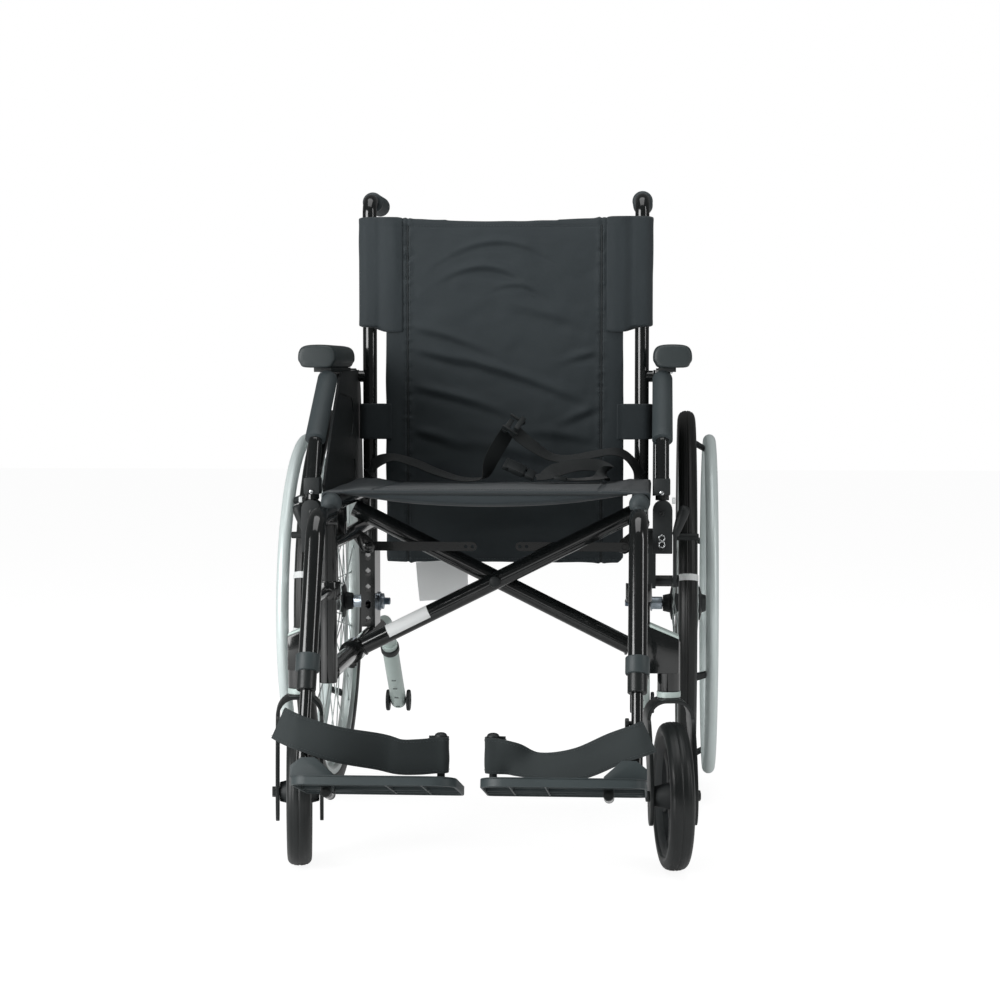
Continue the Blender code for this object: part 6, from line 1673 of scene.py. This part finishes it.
def back_held(point):
    near_seam = min(abs(point.x - SEAM_X[0]), abs(point.x - SEAM_X[1]))
    edge = min(point.x - BACK_LOW, BACK_HIGH - point.x, point.z - BACK_BOTTOM, BACK_TOP - point.z)
    return 1.0 if near_seam < 0.003 or edge < 0.006 else 0.0


back_mesh = settled(gathered("back", [back_shell()]), 0.0042, 3.5, 0.0030, back_held)
back_mesh = refined(back_mesh)
co, no = coords(back_mesh), normals(back_mesh)
facing = np.clip(-no[:, 1], 0, 1)
inside = np.clip((co[:, 0] - SEAM_X[0]) / 0.02, 0, 1) * np.clip((SEAM_X[1] - co[:, 0]) / 0.02, 0, 1)
inside *= np.clip((BACK_TOP - co[:, 2]) / 0.02, 0, 1) * np.clip((co[:, 2] - BACK_BOTTOM) / 0.03, 0, 1)
folds = np.array([crease_field(x, z) if w > 0 else 0.0 for (x, _, z), w in zip(co, inside)])
seams = sum(np.exp(-((co[:, 0] - x) / 0.0024) ** 2) for x in SEAM_X)
seams += np.exp(-((co[:, 2] - (BACK_TOP - 0.016)) / 0.0018) ** 2) * 0.5
ridges = sum(np.exp(-((co[:, 0] - x) / 0.0065) ** 2) for x in SEAM_X)
ridges *= np.array([0.75 + 1.3 * noise.noise(Vector((x * 55, 2.5, z * 130))) for x, _, z in co])
border = np.array([noise.noise(Vector((x * 30, z * 16, 9.0))) for x, _, z in co]) * (1 - inside)
co[:, 1] -= folds * 0.0034 * inside * (0.25 + 0.75 * facing)
co += no * (border * 0.0012 + ridges * 0.0021 - seams * 0.0022)[:, None]
put_back(back_mesh, co)
back = object_of("back_panel", back_mesh, NYLON, "frame_right", ["back_upholstery"], 0)
print("back", len(back_mesh.polygons), "faces")

# %% [markdown]
# A sleeve is one sheet of cloth that leaves the panel's seam, passes over the border, turns round the
# cane and comes back behind. Its path is worked out once in plan and swept up the cane, with soft
# vertical folds and a thicker hem at the top and the bottom.

# %% Sleeves round the canes
back_tree = BVHTree.FromPolygons([v.co for v in back_mesh.vertices], [p.vertices[:] for p in back_mesh.polygons])


def back_face(x, z, lift):
    hit, _, _, _ = back_tree.ray_cast(Vector((x, AXLE_Y - 0.30, z)), Vector((0, 1, 0)))
    return (hit.y if hit else at(0, BACK_REAR_F + 0.009, 0).y) - lift


def make_sleeve(side, bottom, top, start_x, loose, radius):
    """Closed sheet round one cane between two heights."""
    middle = at(side * FRAME_X, CANE_F, 0)
    rows = 44
    rings = []
    for j in range(rows + 1):
        share = j / rows
        z = bottom + (top - bottom) * share
        curve = 0.010 * (1 - share) ** 6
        hem = max(math.exp(-((z - bottom - 0.005) / 0.005) ** 2), math.exp(-((top - z - 0.005) / 0.005) ** 2))
        thick = 0.0013 + 0.0006 * hem
        plan = []
        for k in range(11):
            x = start_x + (side * (FRAME_X - 0.006) - start_x) * k / 10
            face = back_face(max(min(x, BACK_HIGH - 0.006), BACK_LOW + 0.006), z, 0.0016)
            tangent_y = middle.y - radius
            blend = min(1.0, max(0.0, (abs(x) - 0.172) / 0.030))
            dip = 0.0035 * math.exp(-((abs(x) - 0.196) / 0.006) ** 2) - 0.0045 * math.sin(math.pi * k / 10)
            lower = curve * math.exp(-(max(0.0, abs(x) - 0.187) / 0.005) ** 2) if loose > 0.001 else 0.0
            front_y = face * (1 - blend) + tangent_y * blend + (dip if loose > 0.001 else 0.0)
            plan.append(Vector((x, front_y, z - lower)))
        for k in range(1, 16):
            turn = math.radians(-90 + 180 * k / 15)
            plan.append(Vector((middle.x + side * math.cos(turn) * radius, middle.y + math.sin(turn) * radius, z)))
        rear_y = at(0, BACK_REAR_F - 0.0012, 0).y
        for k in range(6):
            x = side * (FRAME_X - 0.004) + (side * 0.176 - side * (FRAME_X - 0.004)) * k / 5
            plan.append(Vector((x, middle.y + radius + (rear_y - middle.y - radius) * k / 5, z)))
        outer, inner = [], []
        for k, spot in enumerate(plan):
            before, after = plan[max(k - 1, 0)], plan[min(k + 1, len(plan) - 1)]
            run = (after - before).normalized()
            out = run.cross(AXIS_Z) * side
            if out.dot(spot - middle) < 0 and k > 11:
                out = -out
            fold = loose * (noise.noise(Vector((spot.x * 42, 4.0 + side, z * 7))) + 0.5 * noise.noise(
                Vector((spot.x * 90, side * 3.0, z * 26))))
            outer.append(spot + out * (thick / 2 + max(-0.0004, fold)))
            inner.append(spot - out * (thick / 2 - max(-0.0004, fold)))
        rings.append(outer + inner[::-1])
    return shell(rings)


sleeves = {}
for name, side in SIDES.items():
    seam_x = SEAM_X[0] - 0.0075 if side < 0 else SEAM_X[1] + 0.0075
    wing = make_sleeve(side, 0.7405, 0.9125, seam_x, 0.0017, 0.0166)
    edge = BACK_LOW + 0.012 if side < 0 else BACK_HIGH - 0.012
    band = make_sleeve(side, 0.5655, 0.6215, edge, 0.0006, 0.0160)
    sleeves[name] = []
    for label, cloth, flat in (("wing", wing, (0.19, 0.172)), ("band", band, (0.13, 0.056))):
        mesh = refined(gathered(f"{name}_{label}", [cloth]), 1)
        sleeve = object_of(f"{name}_{label}", mesh, NYLON, f"frame_{name}", smooth=55)
        sleeves[name].append(sleeve)
        print(sleeve.name, len(mesh.polygons))

# %% [markdown]
# Stitches run beside both long seams and along the top and bottom hems, and a thin cord fills each seam.

# %% Back stitches and piping
def front_line(points, lift=0.0003):
    return [Vector((x, back_face(x, z, lift), z)) for x, z in points]


rows = []
for seam_x in SEAM_X:
    for shift in (-0.0035, 0.0035):
        rows.append(front_line([(seam_x + shift, 0.38 + k * 0.006) for k in range(87)], 0.0006))
rows.append(front_line([(-0.14 + k * 0.006, 0.8975) for k in range(48)], 0.0006))
rows.append(front_line([(-0.182 + k * 0.006, 0.379) for k in range(61)], 0.0006))
back_stitches = grown("back_stitches", STITCHES, rows, {"Pitch": 0.0045, "Length": 0.0032, "Thickness": 0.0007},
                      THREAD, "frame_right")
cords = [pipe(front_line([(seam_x, 0.376 + k * 0.006) for k in range(88)], 0.0002), 0.0013, 10)
         for seam_x in SEAM_X]
back_piping = piece("back_piping", HEM, "frame_right", cords, smooth=60)
left_cane = at(-FRAME_X, CANE_F, 0.6)
for soft in (back, back_stitches, back_piping):
    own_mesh(soft)

# %% [markdown]
# The lap belt lies on the seat: a strap from each cane, the spare end in a loose coil, a buckle in two
# halves, and a slider that stands up in a fold of webbing. The webbing is 25 mm wide and keeps its shape,
# so it is built as ribbons and not simulated.

# %% Lap belt
def belt_row(x, fore, z, up, half=0.0125):
    return (x, fore, z, half, *up)


right_part = through([
    belt_row(-0.2110, 0.0600, 0.5100, (0.0, 0.2, 1.0)), belt_row(-0.2010, 0.0700, 0.5290, (0.0, -0.5, 0.8)),
    belt_row(-0.1700, 0.0900, 0.5375, (0.0, -0.93, 0.36)), belt_row(-0.1377, 0.1080, 0.5310, (0.0, -0.93, 0.36)),
    belt_row(-0.1012, 0.1300, 0.5180, (0.0, -0.95, 0.30)), belt_row(-0.0636, 0.1550, 0.5085, (0.0, -1.0, 0.2)),
    belt_row(-0.0330, 0.1680, 0.5085, (0.1, -1.0, 0.15)), belt_row(-0.0230, 0.1700, 0.5140, (0.4, -0.9, 0.1)),
    belt_row(-0.0140, 0.1650, 0.5376, (0.75, -0.6, -0.2)), belt_row(-0.0010, 0.1560, 0.5616, (0.8, -0.5, -0.4)),
    belt_row(0.0100, 0.1510, 0.5800, (0.7, -0.6, -0.4))], 7)
left_part = through([
    belt_row(0.2110, 0.0600, 0.5080, (0.0, 0.2, 1.0)), belt_row(0.2020, 0.0700, 0.5268, (0.0, -0.5, 0.8)),
    belt_row(0.1880, 0.0850, 0.5420, (0.0, -0.8, 0.5)), belt_row(0.1690, 0.1000, 0.5480, (0.0, -0.93, 0.36)),
    belt_row(0.1451, 0.1100, 0.5455, (0.0, -0.93, 0.36)), belt_row(0.1060, 0.1300, 0.5390, (0.0, -0.93, 0.36)),
    belt_row(0.0760, 0.1440, 0.5420, (0.1, -0.9, 0.4)), belt_row(0.0489, 0.1500, 0.5585, (0.4, -0.8, 0.5)),
    belt_row(0.0291, 0.1510, 0.5737, (0.5, -0.7, 0.5)), belt_row(0.0200, 0.1510, 0.5830, (0.5, -0.7, 0.5))], 8)
coil = through([
    belt_row(0.0560, 0.2000, 0.5130, (0.0, -0.95, 0.30)), belt_row(0.0705, 0.1960, 0.5150, (0.0, -0.9, 0.4)),
    belt_row(0.0886, 0.1720, 0.5240, (0.0, -0.8, 0.6)), belt_row(0.1169, 0.1500, 0.5295, (0.0, -0.8, 0.6)),
    belt_row(0.1457, 0.1350, 0.5285, (0.0, -0.7, 0.7)), belt_row(0.1604, 0.1400, 0.5200, (0.3, -0.6, 0.7)),
    belt_row(0.1500, 0.1620, 0.5115, (0.1, -0.95, 0.2)), belt_row(0.1275, 0.1820, 0.5095, (0.0, -1.0, 0.1)),
    belt_row(0.0992, 0.1920, 0.5095, (0.0, -1.0, 0.1))], 8)
belt_parts = []
for label, rows_of in (("belt_right_strap", right_part), ("belt_left_strap", left_part), ("belt_coil", coil)):
    strap_mesh = ribbon(label, rows_of, 0.0017, 6)
    belt_parts.append(object_of(label, strap_mesh, WEBBING, "frame_right", ["lap_belt"], 50))
    length = sum((at(*a[:3]) - at(*b[:3])).length for a, b in zip(rows_of, rows_of[1:]))
    print(label, round(length, 3))


def boxed(low, high, spin, centre, chamfer):
    """Box between two corners, turned and set in its place."""
    (x0, y0, z0), (x1, y1, z1) = low, high
    base = [centre + spin @ Vector((x, y, z0)) for x, y in ((x0, y0), (x1, y0), (x1, y1), (x0, y1))]
    return plate(base, spin @ Vector((0, 0, z1 - z0)), chamfer)


flat = Matrix.Rotation(math.radians(24), 3, "Y") @ Matrix.Rotation(math.radians(22), 3, "X")
middle = at(0.0300, 0.1930, 0.5245)
buckle = [boxed((-0.019, -0.0150, -0.0042), (0.010, 0.0150, 0.0042), flat, middle, 0.0022),
          boxed((-0.024, -0.0170, -0.0034), (-0.016, 0.0170, 0.0034), flat, middle, 0.0018),
          boxed((0.012, -0.0135, -0.0030), (0.026, 0.0135, 0.0030), flat, middle, 0.0018),
          boxed((0.009, -0.0125, -0.0024), (0.014, -0.0075, 0.0024), flat, middle, 0.0010),
          boxed((0.009, 0.0075, -0.0024), (0.014, 0.0125, 0.0024), flat, middle, 0.0010)]
buckle += [boxed((-0.008, -0.0105, -0.0030), (0.010, 0.0105, 0.0030), Matrix.Rotation(math.radians(10), 3, "Y"),
                 at(0.0920, 0.2000, 0.5115), 0.0014)]
tip = Matrix.Rotation(math.radians(33), 3, "Y") @ Matrix.Rotation(math.radians(38), 3, "X")
slider_at = at(0.0190, 0.1510, 0.5915)
slider = [boxed((-0.004, -0.0160, -0.0022), (0.004, 0.0160, 0.0022), tip, slider_at + Vector((dx, 0, dz)), 0.0010)
          for dx, dz in ((-0.008, -0.002), (0.010, 0.001))]
slider += [boxed((-0.012, -0.0175, -0.0022), (0.014, -0.0140, 0.0022), tip, slider_at, 0.0010),
           boxed((-0.012, 0.0140, -0.0022), (0.014, 0.0175, 0.0022), tip, slider_at, 0.0010)]
belt_parts.append(piece("belt_buckle", GRAINED, "frame_right", buckle + slider))
for soft in belt_parts:
    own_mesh(soft)
